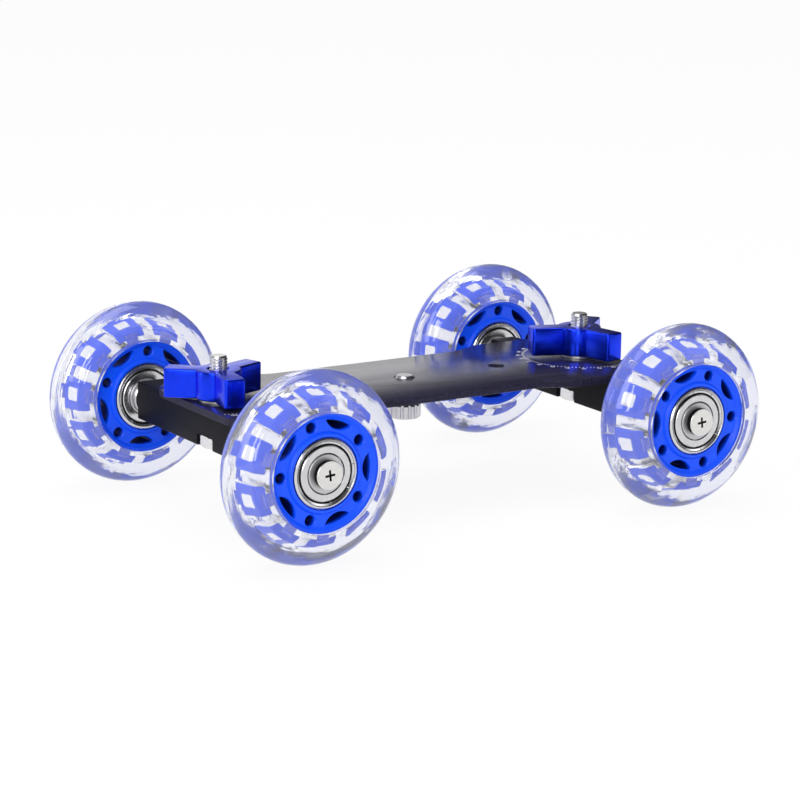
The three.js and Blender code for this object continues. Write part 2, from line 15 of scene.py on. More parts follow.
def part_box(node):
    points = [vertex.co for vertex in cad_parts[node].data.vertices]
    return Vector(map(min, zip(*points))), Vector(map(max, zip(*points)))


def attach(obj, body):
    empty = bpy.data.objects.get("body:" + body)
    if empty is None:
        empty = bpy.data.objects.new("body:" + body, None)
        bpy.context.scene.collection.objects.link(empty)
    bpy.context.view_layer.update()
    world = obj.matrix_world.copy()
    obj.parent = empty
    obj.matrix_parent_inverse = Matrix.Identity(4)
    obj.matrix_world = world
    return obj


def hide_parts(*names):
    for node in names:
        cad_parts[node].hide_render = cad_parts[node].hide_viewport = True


bl_info = {
    "name": "Camera skater dolly",
    "version": (1, 0, 0),
    "blender": (4, 5, 0),
    "location": "View3D > Sidebar > Dolly",
    "description": "Models the finished pieces of a camera dolly round its CAD parts",
    "category": "Object",
}

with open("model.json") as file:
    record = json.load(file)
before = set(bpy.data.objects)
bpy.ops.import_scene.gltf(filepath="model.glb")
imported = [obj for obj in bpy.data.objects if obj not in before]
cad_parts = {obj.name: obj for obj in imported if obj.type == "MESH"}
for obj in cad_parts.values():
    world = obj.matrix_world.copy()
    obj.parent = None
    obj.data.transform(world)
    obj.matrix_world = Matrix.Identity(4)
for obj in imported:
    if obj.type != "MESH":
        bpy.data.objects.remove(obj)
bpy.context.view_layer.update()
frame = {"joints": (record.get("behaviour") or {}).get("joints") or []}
JOINTS = {joint["name"]: joint for joint in frame["joints"]}

MM = 0.001
SIDES = ("left", "right")
CORNERS = ("front_left", "back_left", "front_right", "back_right")
ROUND = 120  # sides of the tyres and cores
TURNED = 80  # sides of bearings, knob washers and screw heads
SHANK = 40  # sides of bores and shanks
OVERRUN = 1.5 * MM  # how far a cutter runs past what it cuts
HAIR = 0.02 * MM  # room between faces that slide on each other
DOUBLE = 0.002 * MM  # points nearer than this are one
TOUCH = 0.0005 * MM  # points nearer to a cutting plane than this lie on it
SNUG = 0.03 * MM  # room round a shank in its bore
EASY = 0.06 * MM  # room round a thread in its hole
PROUD = 0.1 * MM  # how far a small cutter stands out of the face that it cuts
RING_PITCH = 0.14 * MM  # pitch of the rings that grinding leaves
NOTCH_TURN = 0.2  # radians to the first notch of a shield
CROSS_TURN = 0.1  # radians that a cross recess is turned by
DECK_BOTTOM, DECK_TOP = (corner.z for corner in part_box("deck_plate"))


def length(name, description, millimetres):
    """A size that is written in millimetres."""
    return bpy.props.FloatProperty(
        name=name, description=description, default=millimetres * MM, min=0, unit="LENGTH", precision=5
    )


def angle(name, description, degrees):
    """An angle that is written in degrees."""
    return bpy.props.FloatProperty(
        name=name, description=description, default=math.radians(degrees), subtype="ANGLE"
    )


def count(name, description, number):
    """A number of like features."""
    return bpy.props.IntProperty(name=name, description=description, default=number, min=1)


def share(name, description, value):
    """A share, from 0 to 1."""
    return bpy.props.FloatProperty(
        name=name, description=description, default=value, min=0, max=1, subtype="FACTOR"
    )


def colour(name, description, red, green, blue):
    """A linear colour."""
    return bpy.props.FloatVectorProperty(
        name=name, description=description, default=(red, green, blue), size=3, min=0, max=1,
        subtype="COLOR",
    )


class WheelSizes(bpy.types.PropertyGroup):
    """Sizes of the tyres and of the cores that they are cast round."""

    tyre_radius: length("Tyre radius", "Radius at the crown", 30.7)
    tyre_half_width: length("Tyre half width", "Half the width at the lips", 10.2)
    tyre_edge: angle("Tyre edge angle", "Where the oval section ends at its lip", 59.2)
    tyre_lip: length("Lip", "Flat part of the tyre beside the core", 0.5)
    tyre_round: length("Lip rounding", "Rounding of the tyre's lips", 0.25)
    bond: length("Bond", "How deep the cast tyre grips the crowns of the blocks", 0.05)
    shrinkage: length("Shrinkage", "Silvery air where the tyre has shrunk off the blocks' sides", 0.04)
    core_radius: length("Core radius", "Outside radius of the core's rim", 18.85)
    core_half_width: length("Core half width", "Half the width of the rim", 8.75)
    web_half_width: length("Web half width", "Half the width of the web", 7.9)
    rim_thickness: length("Rim thickness", "Thickness of the core's rim", 1.2)
    boss_radius: length("Boss radius", "Outside radius of the collar round a bearing", 12.6)
    boss_half_width: length("Boss half width", "Half the width over the collars", 8.9)
    seat_radius: length("Bearing seat", "Radius of the seat of a bearing", 11.03)
    seat_depth: length("Seat shoulder", "From the middle to the shoulder that a bearing sits against", 2.24)
    shoulder_radius: length("Shoulder radius", "Bore of the shoulder", 9.6)
    relief: length("Relief", "Width of the groove round the mouth of a seat", 0.45)
    relief_depth: length("Relief depth", "Depth of that groove", 1.2)
    edge: length("Edge", "Chamfer along the moulded edges", 0.35)
    block_neck_width: length("Neck width", "Width of a mushroom block's neck", 4.2)
    block_neck_height: length("Neck height", "Height of the neck", 1.4)
    block_head_height: length("Head height", "Height of the block's head", 2.3)
    block_gap: length("Block gap", "Gap between neighbouring heads", 3.5)
    block_half_width: length("Block half width", "Half the width of a head along the axle, at its foot", 7.2)
    crown_half_width: length("Crown half width", "The same at the crown of the head", 3.8)
    block_round: length("Block rounding", "Rounding of the blocks' edges", 0.6)
    pocket_width: length("Pocket width", "Width of the pocket in a head, along the axle", 5.2)
    pocket_length: length("Pocket length", "Length of the pocket round the wheel", 4.2)
    pocket_depth: length("Pocket depth", "Depth of the pocket", 1.6)
    blocks: count("Blocks", "Mushroom blocks round a core", 10)
    hole_radius: length("Hole radius", "Radius of the round holes in the web", 1.7)
    slot_length: length("Slot length", "Length of the lens-shaped slots", 9.2)
    slot_depth: length("Slot depth", "Radial depth of the slots", 2.7)
    slot_radius: length("Slot radius", "Radius of a slot's outer edge round the axle", 16.5)
    phase_front_left: angle("Front left", "Angle of the first round hole", 144.4)
    phase_front_right: angle("Front right", "Angle of the first round hole", 109.8)
    phase_back_left: angle("Back left", "Angle of the first round hole", 13.1)
    phase_back_right: angle("Back right", "Angle of the first round hole", 14.3)
    urethane: colour("Urethane", "Tint of the clear tyres", 0.92, 0.93, 1.0)
    moulding: colour("Moulding", "Blue of the moulded cores", 0.001, 0.075, 0.86)


class BearingSizes(bpy.types.PropertyGroup):
    """Sizes of the ball bearings and of what holds them on the truck."""

    radius: length("Radius", "Outside radius of a bearing", 11)
    bore: length("Bore radius", "Radius of the bore", 4)
    width: length("Width", "Width of a bearing", 7)
    spacing: length("Spacing", "Between the two bearings of a wheel", 4.6)
    outer_land: length("Outer land", "Inside radius of the outer ring's face", 10.15)
    rim_radius: length("Rolled rim", "Inside radius of the rolled rim of the shield", 9.3)
    shield_radius: length("Shield radius", "Outside radius of the flat of the shield", 8.75)
    groove_depth: length("Groove depth", "Depth of the groove between the rolled rim and the flat", 1.1)
    shield_bore: length("Shield bore", "Radius of the hole in the shield", 6.45)
    shield_drop: length("Shield drop", "From the face of the ring to the shield", 0.15)
    inner_land: length("Inner land", "Outside radius of the inner ring", 6.15)
    chamfer: length("Chamfer", "Chamfer on the rings", 0.35)
    ball_radius: length("Ball radius", "Radius of a ball", 1.85)
    balls: count("Balls", "Balls in a bearing", 7)
    ticks: count("Ticks", "Notches round the rolled rim", 8)
    tick_width: length("Tick width", "Width of a notch", 0.32)
    head_radius: length("Head radius", "Radius of the axle screw's flat head", 4.6)
    head_height: length("Head height", "Height of that head", 2.3)
    head_disc: length("Head disc", "Thickness of the bright disc on the head", 1.1)
    screw_radius: length("Screw radius", "Radius of the axle screw", 2.5)
    cross_width: length("Cross width", "Width of the arms of the cross recess", 0.75)
    cross_reach: length("Cross reach", "From end to end of the cross recess", 3.5)
    cross_depth: length("Cross depth", "Depth of the cross recess", 0.7)
    grip: length("Grip", "Length of the axle screw inside the truck bar", 14)
    spacer_radius: length("Spacer radius", "Outside radius of the spacers", 5.7)
    axle_spacer: length("Axle spacer", "Length of the spacer beside the truck bar", 2.6)
    steel: colour("Bearing steel", "Colour of ground bearing steel", 0.68, 0.68, 0.70)
    plating: colour("Plating", "Colour of the plated axle screws", 0.80, 0.79, 0.77)
    # painted shade: this black stands in for the shadow down in the groove between the rolled rim and the
    # shield
    oil: colour("Oil", "Black of the shield's groove", 0.004, 0.004, 0.005)
    # painted shade: this black stands in for the shade on the axle screw's side under its bright disc and in
    # its cross recess
    neck: colour("Neck", "Black of the axle screw's side", 0.003, 0.003, 0.004)


class TruckSizes(bpy.types.PropertyGroup):
    """Sizes of the truck bars, their pivot bolts and the star knobs."""

    bar_width: length("Bar width", "Width of a truck bar", 10)
    bar_height: length("Bar height", "Height of a truck bar", 12.6)
    bar_length: length("Bar length", "Length of a truck bar", 93)
    bar_round: length("Bar edge", "Rounding of the bar's edges", 0.5)
    slot_clearance: length("Slot clearance", "Beside the bolt head in its slot", 0.2)
    pivot_bore: length("Pivot bore", "Radius of the hole for the pivot bolt in the bar", 3.2)
    bolt_radius: length("Bolt radius", "Outside radius of the pivot bolt's thread", 2.95)
    bolt_pitch: length("Bolt pitch", "Pitch of that thread", 1)
    thread_depth: length("Thread depth", "Depth of that thread", 0.5)
    bolt_chamfer: length("Bolt chamfer", "Chamfer at the tip", 0.6)
    head_flats: length("Head flats", "Width across the flats of the bolt head", 10)
    head_height: length("Head height", "Height of the bolt head", 3.9)
    head_rim: length("Head rim", "Width of the rim round the dish in the bolt head", 1.2)
    head_dish: length("Head dish", "Depth of that dish", 0.15)
    head_chamfer: length("Head chamfer", "Chamfer of the bolt head", 0.5)
    washer_thickness: length("Washer thickness", "Thickness of the washer under a knob", 1)
    knob_reach: length("Knob reach", "From the pivot to the end of an arm", 17.2)
    knob_arm: length("Arm width", "Width of a knob's arm", 7)
    knob_hub: length("Knob hub", "Radius of the knob's hub", 7.5)
    knob_height: length("Knob height", "Height of the knob", 9.5)
    knob_corner: length("Knob corner", "Chamfer of the arms' upright corners", 0.9)
    knob_edge: length("Knob edge", "Chamfer round the top and bottom", 0.55)
    knob_countersink: length("Countersink", "Radius of the countersink round the bolt", 3.9)
    countersink_depth: length("Countersink depth", "Depth of the countersink", 0.8)
    knob_arms: count("Arms", "Arms on a knob", 3)
    knob_angle_left: angle("Left knob", "Angle of its first arm", 139.5)
    knob_angle_right: angle("Right knob", "Angle of its first arm", 160.8)
    anodised: colour("Anodised blue", "Blue of the anodised knobs", 0.008, 0.042, 0.85)
    black: colour("Bar black", "Black of the anodised bars", 0.006, 0.006, 0.008)
    zinc: colour("Zinc", "Colour of the plated bolts and washers", 0.78, 0.78, 0.80)


class DeckSizes(bpy.types.PropertyGroup):
    """Sizes of the deck, of its scale rings and of the camera screw."""

    end: length("End", "From the middle to the end of the deck", 79.5)
    half_width: length("Half width", "Half the width of the ends", 31)
    waist: length("Waist", "Half the width of the waist", 26)
    waist_end: length("Waist end", "From the middle to where the waist ends", 35)
    flare_end: length("Flare end", "From the middle to where the full width starts", 50)
    corner: length("Corner", "Radius of the corners", 11)
    edge: length("Edge", "Rounding of the edges", 0.2)
    accessory_hole: length("Accessory hole", "Radius of the two accessory holes", 2.75)
    accessory_place: length("Accessory place", "From the middle to an accessory hole", 36.5)
    camera_hole: length("Camera hole", "Radius of the hole for the camera screw", 3.375)
    pivot_hole: length("Pivot hole", "Radius of the holes for the pivot bolts", 3.05)
    countersink: length("Countersink", "Chamfer round the holes", 0.25)
    scale_inner: length("Scale inner", "Inside radius of the scale rings", 18.6)
    scale_tick: length("Tick length", "Length of a tick", 0.9)
    scale_width: length("Tick width", "Width of a tick", 0.2)
    scale_digit: length("Digit height", "Height of the numbers", 1.7)
    scale_paint: length("Paint", "Thickness of the white paint", 0.02)
    scale_reach: angle("Scale reach", "Half the angle that a scale ring covers", 112.5)
    scale_numbered: count("Numbered ticks", "One tick in this many is longer and has a number", 4)
    scale_step: angle("Scale step", "Angle between ticks", 3.75)
    thread_radius: length("Camera thread", "Outside radius of the camera screw's thread", 3.175)
    thread_pitch: length("Camera pitch", "Pitch of the camera screw", 1.27)
    thread_depth: length("Camera thread depth", "Depth of the camera screw's thread", 0.6)
    head_radius: length("Camera head", "Radius of the camera screw's head", 5.5)
    head_edge: length("Head edge", "Chamfer round the screw's head", 0.5)
    head_rim: length("Head rim", "Width of the rim round the dish under the head", 1.4)
    head_dish: length("Head dish", "Depth of that dish", 0.25)
    thread_chamfer: length("Tip chamfer", "Chamfer at the screw's tip", 0.6)
    washer_radius: length("Washer radius", "Outside radius of the washer under the deck", 5.8)
    head_ribs: count("Ribs", "Ribs round the head", 14)
    rib_groove: length("Rib groove", "Radius of the round grooves between the ribs", 0.62)
    rib_depth: length("Rib depth", "Depth of the grooves between the ribs", 0.5)
    brushed: colour("Deck black", "Black of the brushed deck", 0.012, 0.011, 0.024)
    nylon: colour("Nylon", "Black of the washer under the deck", 0.01, 0.01, 0.011)
    screw: colour("Screw", "Colour of the turned camera screw", 0.62, 0.61, 0.64)
    paint: colour("Paint", "White of the scale", 0.75, 0.75, 0.78)


class StageSizes(bpy.types.PropertyGroup):
    """The camera, the lamps and the floor."""

    azimuth: angle("Azimuth", "Camera's place round the object", -32.239)
    elevation: angle("Elevation", "Camera's height over the horizon", 13.234)
    roll: angle("Roll", "Camera's roll", 0.809)
    distance: length("Distance", "From the camera to the point it looks at", 1028.69)
    look_right: length("Look right", "How far left of the middle the camera looks", 1.414)
    look_up: length("Look up", "How far over the axle height the camera looks", 1.015)
    axle: length("Axle height", "Height of the axles over the floor", 30.7)
    lens: bpy.props.FloatProperty(name="Lens", description="Focal length", default=139.594, unit="CAMERA")
    floor: length("Floor", "Width of the floor", 9000)
    world: bpy.props.FloatProperty(name="World", description="Strength of the surroundings", default=0.72)
    dusk: share("Dusk", "What metal mirrors of the room behind the camera", 0.22)
    ceiling: share("Ceiling", "What metal mirrors of the room overhead", 0.4)
    far_side: share("Far side", "What metal mirrors of the room to the right", 0.1)
    floor_colour: colour("Floor colour", "Pale floor", 0.86, 0.86, 0.87)
    floor_white: share("Floor white", "How white the floor looks; the rest is its lit colour", 0.92)


def node_maths(operation):
    """One of Python's operators as a Math node, and its reflected form."""

    def forward(wire, other):
        return wire.shader.node("ShaderNodeMath", {"operation": operation}, {0: wire, 1: other})

    def reflected(wire, other):
        return wire.shader.node("ShaderNodeMath", {"operation": operation}, {0: other, 1: wire})

    return forward, reflected


class Wire:
    """A node's output, with Python's operators on it as Math nodes."""

    def __init__(self, shader, socket):
        self.shader = shader
        self.socket = socket

    __add__, __radd__ = node_maths("ADD")
    __sub__, __rsub__ = node_maths("SUBTRACT")
    __mul__, __rmul__ = node_maths("MULTIPLY")
    __truediv__, __rtruediv__ = node_maths("DIVIDE")
    __gt__ = node_maths("GREATER_THAN")[0]
    __lt__ = node_maths("LESS_THAN")[0]


class Shader:
    """The nodes of one material or of the world."""

    def __init__(self, owner):
        owner.use_nodes = True
        self.tree = owner.node_tree
        self.tree.nodes.clear()

    def node(self, kind, settings=None, sockets=None, output=0):
        """Adds a node, sets it up, feeds its sockets and gives one of its outputs."""
        node = self.tree.nodes.new(kind)
        for name, value in (settings or {}).items():
            if name == "stops":
                for stop, (place, level) in zip(node.color_ramp.elements, value):
                    stop.position = place
                    stop.color = (level, level, level, 1)
            else:
                setattr(node, name, value)
        for name, value in (sockets or {}).items():
            if isinstance(value, Wire):
                self.tree.links.new(value.socket, node.inputs[name])
            else:
                node.inputs[name].default_value = value
        return Wire(self, node.outputs[output]) if node.outputs else None

    def place(self, template=False):
        """Where a point of the piece is: in the frame, or in the template that it was turned from."""
        if template:
            return self.node("ShaderNodeAttribute", {"attribute_name": "template_place"}, output=1)
        return self.node("ShaderNodeTexCoord", output=3)

    def stretched(self, place, x, y, z):
        """A place with its axes scaled, for streaks."""
        return self.node("ShaderNodeMapping", None, {"Vector": place, "Scale": (x, y, z)})

    def noise(self, place, scale, detail=3.0, roughness=0.5):
        """Noise from 0 to 1 at that many cells a metre."""
        sockets = {"Vector": place, "Scale": scale, "Detail": detail, "Roughness": roughness}
        return self.node("ShaderNodeTexNoise", None, sockets)

    def radius(self, place):
        """Distance from the axis that the template was turned round."""
        flat = self.node("ShaderNodeVectorMath", {"operation": "MULTIPLY"}, {0: place, 1: (1, 1, 0)})
        return self.node("ShaderNodeVectorMath", {"operation": "LENGTH"}, {0: flat}, output=1)

    def blend(self, mask, first, second):
        """A colour between two, by a mask."""
        return self.node("ShaderNodeMix", {"data_type": "RGBA"}, {0: mask, 6: first, 7: second}, output=2)

    def bump(self, height, distance, strength):
        """A normal bent by a height that counts in the given distance."""
        sockets = {"Height": height, "Distance": distance, "Strength": strength}
        return self.node("ShaderNodeBump", None, sockets)

    def height(self, place):
        """Height over the middle of the template."""
        return self.node("ShaderNodeSeparateXYZ", None, {0: place}, output=2)

    def rays(self, *kinds):
        """1 for rays of those kinds, 0 for the others."""
        path = self.node("ShaderNodeLightPath").socket.node.outputs
        return sum(Wire(self, path[f"Is {kind} Ray"]) for kind in kinds) > 0.5


def rgba(tint, gain=1.0):
    """A colour with its alpha, made lighter or darker."""
    return (*(min(1.0, part * gain) for part in tint), 1.0)


def finish(pattern):
    """Makes a material maker of a function that gives the sockets of the surface."""

    def made(*settings, name=pattern.__name__):
        material = bpy.data.materials.new(name)
        shader = Shader(material)
        principled = shader.node("ShaderNodeBsdfPrincipled", None, pattern(shader, *settings))
        shader.node("ShaderNodeOutputMaterial", None, {"Surface": principled})
        return material

    return made


@finish
def clear_urethane(shader, tint):
    """Cast urethane, clear and faintly wavy, with rings from its turning and a few finger marks."""
    place = shader.place(template=True)
    waves = shader.noise(place, 130.0, 2.0)
    section = {"X": shader.radius(place), "Y": waves * MM, "Z": shader.height(place)}
    section = shader.node("ShaderNodeCombineXYZ", None, section)
    rings = shader.noise(section, 620.0, 2.0)
    marks = shader.noise(place, 420.0, 4.0, 0.6)
    smear = shader.node("ShaderNodeValToRGB", {"stops": ((0.45, 0.0), (0.75, 1.0))}, {"Fac": marks})
    return {
        "Base Color": shader.blend(waves, rgba(tint, 0.97), rgba(tint)),
        "Roughness": 0.015 + smear * 0.05,
        "IOR": 1.46,
        "Transmission Weight": 0.9,
        "Normal": shader.bump(waves + rings * 1.2, 0.25 * MM, 0.5),
    }


@finish
def blue_moulding(shader, sizes):
    """Moulded nylon with flow marks and a fine grain, with painted shade down in the holes and slots."""
    tint = sizes.moulding
    place = shader.place(template=True)
    flow = shader.noise(place, 160.0, 3.0)
    grain = shader.noise(place, 3800.0, 2.0)
    height = shader.node("ShaderNodeMath", {"operation": "ABSOLUTE"}, {0: shader.height(place)})
    web = sizes.web_half_width
    depth = shader.node(
        "ShaderNodeMapRange", None, {"Value": height, "From Min": 0.7 * web, "From Max": 0.94 * web}
    )
    # painted shade: the web's holes and slots darken towards navy with depth, standing in for the shade
    # inside them
    holes = (shader.radius(place) < sizes.core_radius - sizes.rim_thickness) * (1 - depth)
    lit = shader.blend(flow, rgba(tint, 0.86), rgba(tint, 1.12))
    return {
        "Base Color": shader.blend(holes * 0.9, lit, (0.0, 0.003, 0.10, 1.0)),
        "Roughness": 0.27 + flow * 0.12 + grain * 0.06,
        "Normal": shader.bump(grain + flow * 2.0, 0.02 * MM, 0.6),
        "Specular IOR Level": 0.3,
    }


@finish
def ground_steel(shader, tint, roughness):
    """Steel with the fine rings that grinding or turning leaves."""
    place = shader.place(template=True)
    radius = shader.radius(place)
    section = shader.node("ShaderNodeCombineXYZ", None, {"X": radius / RING_PITCH})
    rings = shader.noise(section, 1.0, 3.0, 0.7)
    stain = shader.noise(place, 350.0, 3.0)
    return {
        "Base Color": shader.blend(stain, rgba(tint, 0.82), rgba(tint, 1.1)),
        "Metallic": 1.0,
        "Roughness": roughness + rings * 0.12 + stain * 0.08,
        "Normal": shader.bump(rings, 0.006 * MM, 0.7),
    }


@finish
def plated_steel(shader, tint, roughness):
    """Plated steel, faintly cloudy."""
    place = shader.place(template=True)
    cloud = shader.noise(place, 500.0, 4.0, 0.6)
    speck = shader.noise(place, 5200.0, 2.0)
    return {
        "Base Color": shader.blend(cloud, rgba(tint, 0.78), rgba(tint, 1.1)),
        "Metallic": 1.0,
        "Roughness": roughness + cloud * 0.16,
        "Normal": shader.bump(speck, 0.01 * MM, 0.5),
    }


@finish
def anodised_blue(shader, tint):
    """Satin anodised aluminium with faint tool lines round the knob."""
    place = shader.place(template=True)
    lines = shader.noise(shader.stretched(place, 90.0, 90.0, 6500.0), 1.0, 2.0)
    cloud = shader.noise(place, 260.0, 3.0)
    speck = shader.noise(place, 6000.0, 2.0)
    return {
        "Base Color": shader.blend(cloud, rgba(tint, 0.85), rgba(tint, 1.15)),
        "Metallic": 1.0,
        "Roughness": 0.16 + lines * 0.10 + cloud * 0.06,
        "Normal": shader.bump(lines + speck * 0.6, 0.008 * MM, 0.6),
        "Coat Weight": 0.1,
        "Coat Roughness": 0.12,
    }


@finish
def brushed_black(shader, tint):
    """The deck's faces: black, brushed along the deck."""
    place = shader.place()
    broad = shader.noise(shader.stretched(place, 18.0, 900.0, 900.0), 1.0, 3.0, 0.6)
    fine = shader.noise(shader.stretched(place, 70.0, 5200.0, 5200.0), 1.0, 2.0)
    cloud = shader.noise(place, 45.0, 3.0)
    return {
        "Base Color": shader.blend(broad, rgba(tint, 0.2), rgba(tint, 3.0)),
        "Metallic": 0.0,
        "Roughness": 0.05 + broad * 0.10 + cloud * 0.03,
        "Normal": shader.bump(fine + broad * 2.0, 0.03 * MM, 0.8),
        "Specular IOR Level": 0.4,
    }


@finish
def sawn_black(shader, tint):
    """The deck's edges: black over a coarse cut."""
    place = shader.place()
    grain = shader.noise(place, 2600.0, 4.0, 0.7)
    bright = shader.node("ShaderNodeValToRGB", {"stops": ((0.52, 0.0), (0.72, 1.0))}, {"Fac": grain})
    return {
        "Base Color": shader.blend(bright, rgba(tint), rgba(tint, 7.0)),
        "Roughness": 0.45 + grain * 0.2,
        "Normal": shader.bump(grain, 0.12 * MM, 0.8),
        "Specular IOR Level": 0.15,
    }


@finish
def bar_black(shader, tint):
    """The truck bars: black anodised, smooth, with faint lines along the bar."""
    place = shader.place()
    lines = shader.noise(shader.stretched(place, 2600.0, 40.0, 2600.0), 1.0, 2.0)
    cloud = shader.noise(place, 120.0, 3.0)
    return {
        "Base Color": shader.blend(cloud, rgba(tint, 0.8), rgba(tint, 1.6)),
        "Roughness": 0.30 + cloud * 0.12 + lines * 0.08,
        "Normal": shader.bump(lines, 0.008 * MM, 0.5),
        "Specular IOR Level": 0.06,
    }


@finish
def dull(shader, tint, roughness):
    """Nylon or paint with a fine grain."""
    place = shader.place(template=True)
    grain = shader.noise(place, 3000.0, 3.0)
    return {
        "Base Color": shader.blend(grain, rgba(tint, 0.8), rgba(tint, 1.15)),
        "Roughness": roughness + grain * 0.15,
        "Normal": shader.bump(grain, 0.01 * MM, 0.5),
        "Specular IOR Level": 0.15,
    }


def only(piece):
    """Leaves one piece selected and active."""
    bpy.ops.object.select_all(action="DESELECT")
    piece.select_set(True)
    bpy.context.view_layer.objects.active = piece
    return piece


@contextmanager
def editing(piece):
    """Edit mode on one piece."""
    only(piece)
    bpy.ops.object.mode_set(mode="EDIT")
    bpy.ops.mesh.select_mode(type="VERT")
    yield
    bpy.ops.object.mode_set(mode="OBJECT")


def pick(kind, test):
    """Selects the edges or faces of the edited mesh that pass the test."""
    bpy.ops.mesh.select_all(action="DESELECT")
    bpy.ops.mesh.select_mode(type=kind)
    mesh = bmesh.from_edit_mesh(bpy.context.object.data)
    for part in mesh.edges if kind == "EDGE" else mesh.faces:
        part.select_set(test(part))
    bmesh.update_edit_mesh(bpy.context.object.data)


def span(edge, axis):
    """How far an edge reaches along an axis."""
    return abs(edge.verts[0].co[axis] - edge.verts[1].co[axis])


def settle(piece):
    """Puts a piece's place, turn and scale into its mesh."""
    only(piece)
    bpy.ops.object.transform_apply(location=True, rotation=True, scale=True)
    return piece


def face_outwards():
    """Selects the edited mesh and turns its faces outwards."""
    bpy.ops.mesh.select_all(action="SELECT")
    bpy.ops.mesh.normals_make_consistent(inside=False)


def pull(*shift):
    """Extrudes what is selected in the edited mesh."""
    bpy.ops.mesh.extrude_region_move(TRANSFORM_OT_translate={"value": shift})


def tidied(piece, smooth=32.0):
    """Merges doubles, turns the faces outwards and smooths what is flatter than so many degrees."""
    with editing(piece):
        bpy.ops.mesh.select_all(action="SELECT")
        bpy.ops.mesh.remove_doubles(threshold=DOUBLE)
        face_outwards()
    bpy.ops.object.shade_smooth_by_angle(angle=math.radians(smooth))
    return piece


def added(shape, **settings):
    """A new primitive with its place in its mesh, and nothing else selected."""
    bpy.ops.object.select_all(action="DESELECT")
    getattr(bpy.ops.mesh, f"primitive_{shape}_add")(**settings)
    return settle(bpy.context.object)


def turned(profile, sides, filled=False):
    """A circle that is extruded and scaled through (radius, height) points, round the Z axis."""
    radius, height = profile[0]
    piece = added("circle", vertices=sides, radius=radius, location=(0, 0, height))
    with editing(piece):
        bpy.ops.mesh.select_all(action="SELECT")
        for next_radius, next_height in profile[1:]:
            pull(0, 0, next_height - height)
            grow = next_radius / radius
            bpy.ops.transform.resize(value=(grow, grow, 1), center_override=(0, 0, next_height))
            radius, height = next_radius, next_height
        bpy.ops.mesh.select_all(action="DESELECT")
        bpy.ops.mesh.select_mode(type="EDGE")
        bpy.ops.mesh.select_non_manifold()
        if filled:
            bpy.ops.mesh.fill_holes(sides=0)
        else:
            bpy.ops.mesh.bridge_edge_loops()
        face_outwards()
    return piece


def sliced(point, away):
    """Cuts the edited mesh by a plane, drops what lies beyond it and closes the cut."""
    bpy.ops.mesh.select_all(action="SELECT")
    bpy.ops.mesh.bisect(plane_co=point, plane_no=away, clear_outer=True, use_fill=True, threshold=TOUCH)


def slab(low, high):
    """A cube primitive between two corners."""
    low, high = Vector(low), Vector(high)
    return added("cube", size=1, location=(low + high) / 2, scale=high - low)


def outlined(points, bottom, top):
    """A filled circle whose corners are moved onto an outline, extruded from bottom to top."""
    piece = added("circle", vertices=len(points), fill_type="NGON", location=(0, 0, bottom))
    for corner, (x, y) in zip(piece.data.vertices, points):
        corner.co = (x, y, bottom)
    with editing(piece):
        bpy.ops.mesh.select_all(action="SELECT")
        pull(0, 0, top - bottom)
        face_outwards()
    return piece


def modified(piece, kind, **settings):
    """Adds a modifier and applies it."""
    only(piece)
    modifier = piece.modifiers.new(kind, kind)
    for name, value in settings.items():
        setattr(modifier, name, value)
    bpy.ops.object.modifier_apply(modifier=modifier.name)
    return piece


def rounded(piece, width, segments=2, limit=40.0):
    """Bevels the edges that are sharper than the limit, in degrees."""
    return modified(
        piece, "BEVEL", width=width, segments=segments, limit_method="ANGLE", angle_limit=math.radians(limit)
    )


def carved(piece, cutter, operation="DIFFERENCE"):
    """Cuts a piece by another, or joins them, and drops the other."""
    modified(piece, "BOOLEAN", operation=operation, object=cutter, solver="EXACT")
    bpy.data.objects.remove(cutter)
    return piece


def copied(piece, matrix):
    """A copy with its own mesh, moved by a matrix."""
    only(piece)
    bpy.ops.object.duplicate()
    copy = bpy.context.object
    copy.matrix_world = matrix
    return settle(copy)


def joined(pieces):
    """Several pieces as one."""
    only(pieces[0])
    for piece in pieces:
        piece.select_set(True)
    bpy.ops.object.join()
    return bpy.context.object


def around(piece, number, first=0.0):
    """Copies of a piece round the Z axis, as one."""
    turns = [Matrix.Rotation(first + math.tau * k / number, 4, "Z") for k in range(number)]
    ring = joined([copied(piece, turn) for turn in turns])
    bpy.data.objects.remove(piece)
    return ring


def painted(piece, index, test):
    """Gives the faces that pass the test another of the piece's materials."""
    for face in piece.data.polygons:
        if test(face):
            face.material_index = index
    return piece


def clothe(piece, *materials):
    """Puts materials on a template."""
    for material in materials:
        piece.data.materials.append(material)
    return piece


def remember_places(template):
    """Keeps where each point lay in the template, for patterns that turn with a piece."""
    mesh = template.data
    if "template_place" not in mesh.attributes:
        places = [axis for vertex in mesh.vertices for axis in vertex.co]
        mesh.attributes.new("template_place", "FLOAT_VECTOR", "POINT").data.foreach_set("vector", places)


def stand_in(template, name, matrix, body, node):
    """A copy of the template that shows in place of a CAD node."""
    remember_places(template)
    piece = copied(template, matrix)
    piece.name = name
    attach(piece, body)
    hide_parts(node)
    return piece


def wheel_matrix(corner, phase=0.0):
    """From a template turned round Z to a wheel's place, +Z to the outside."""
    centre = Matrix.Translation(JOINTS[f"wheel_{corner}_roll"]["pos_m"])
    outwards = Matrix.Rotation(math.pi if corner.startswith("front") else 0.0, 4, "Z")
    return centre @ outwards @ Matrix.Rotation(-phase, 4, "Y") @ Matrix.Rotation(-math.pi / 2, 4, "X")


def bearing_matrix(corner, place, sizes):
    """The same for a bearing. The inboard one is turned round, with its shield to the bar."""
    shift = Matrix.Translation((0, 0, (sizes.spacing + sizes.width) / 2))
    turn = Matrix.Rotation(math.pi if place == "inboard" else 0.0, 4, "X")
    return wheel_matrix(corner) @ turn @ shift


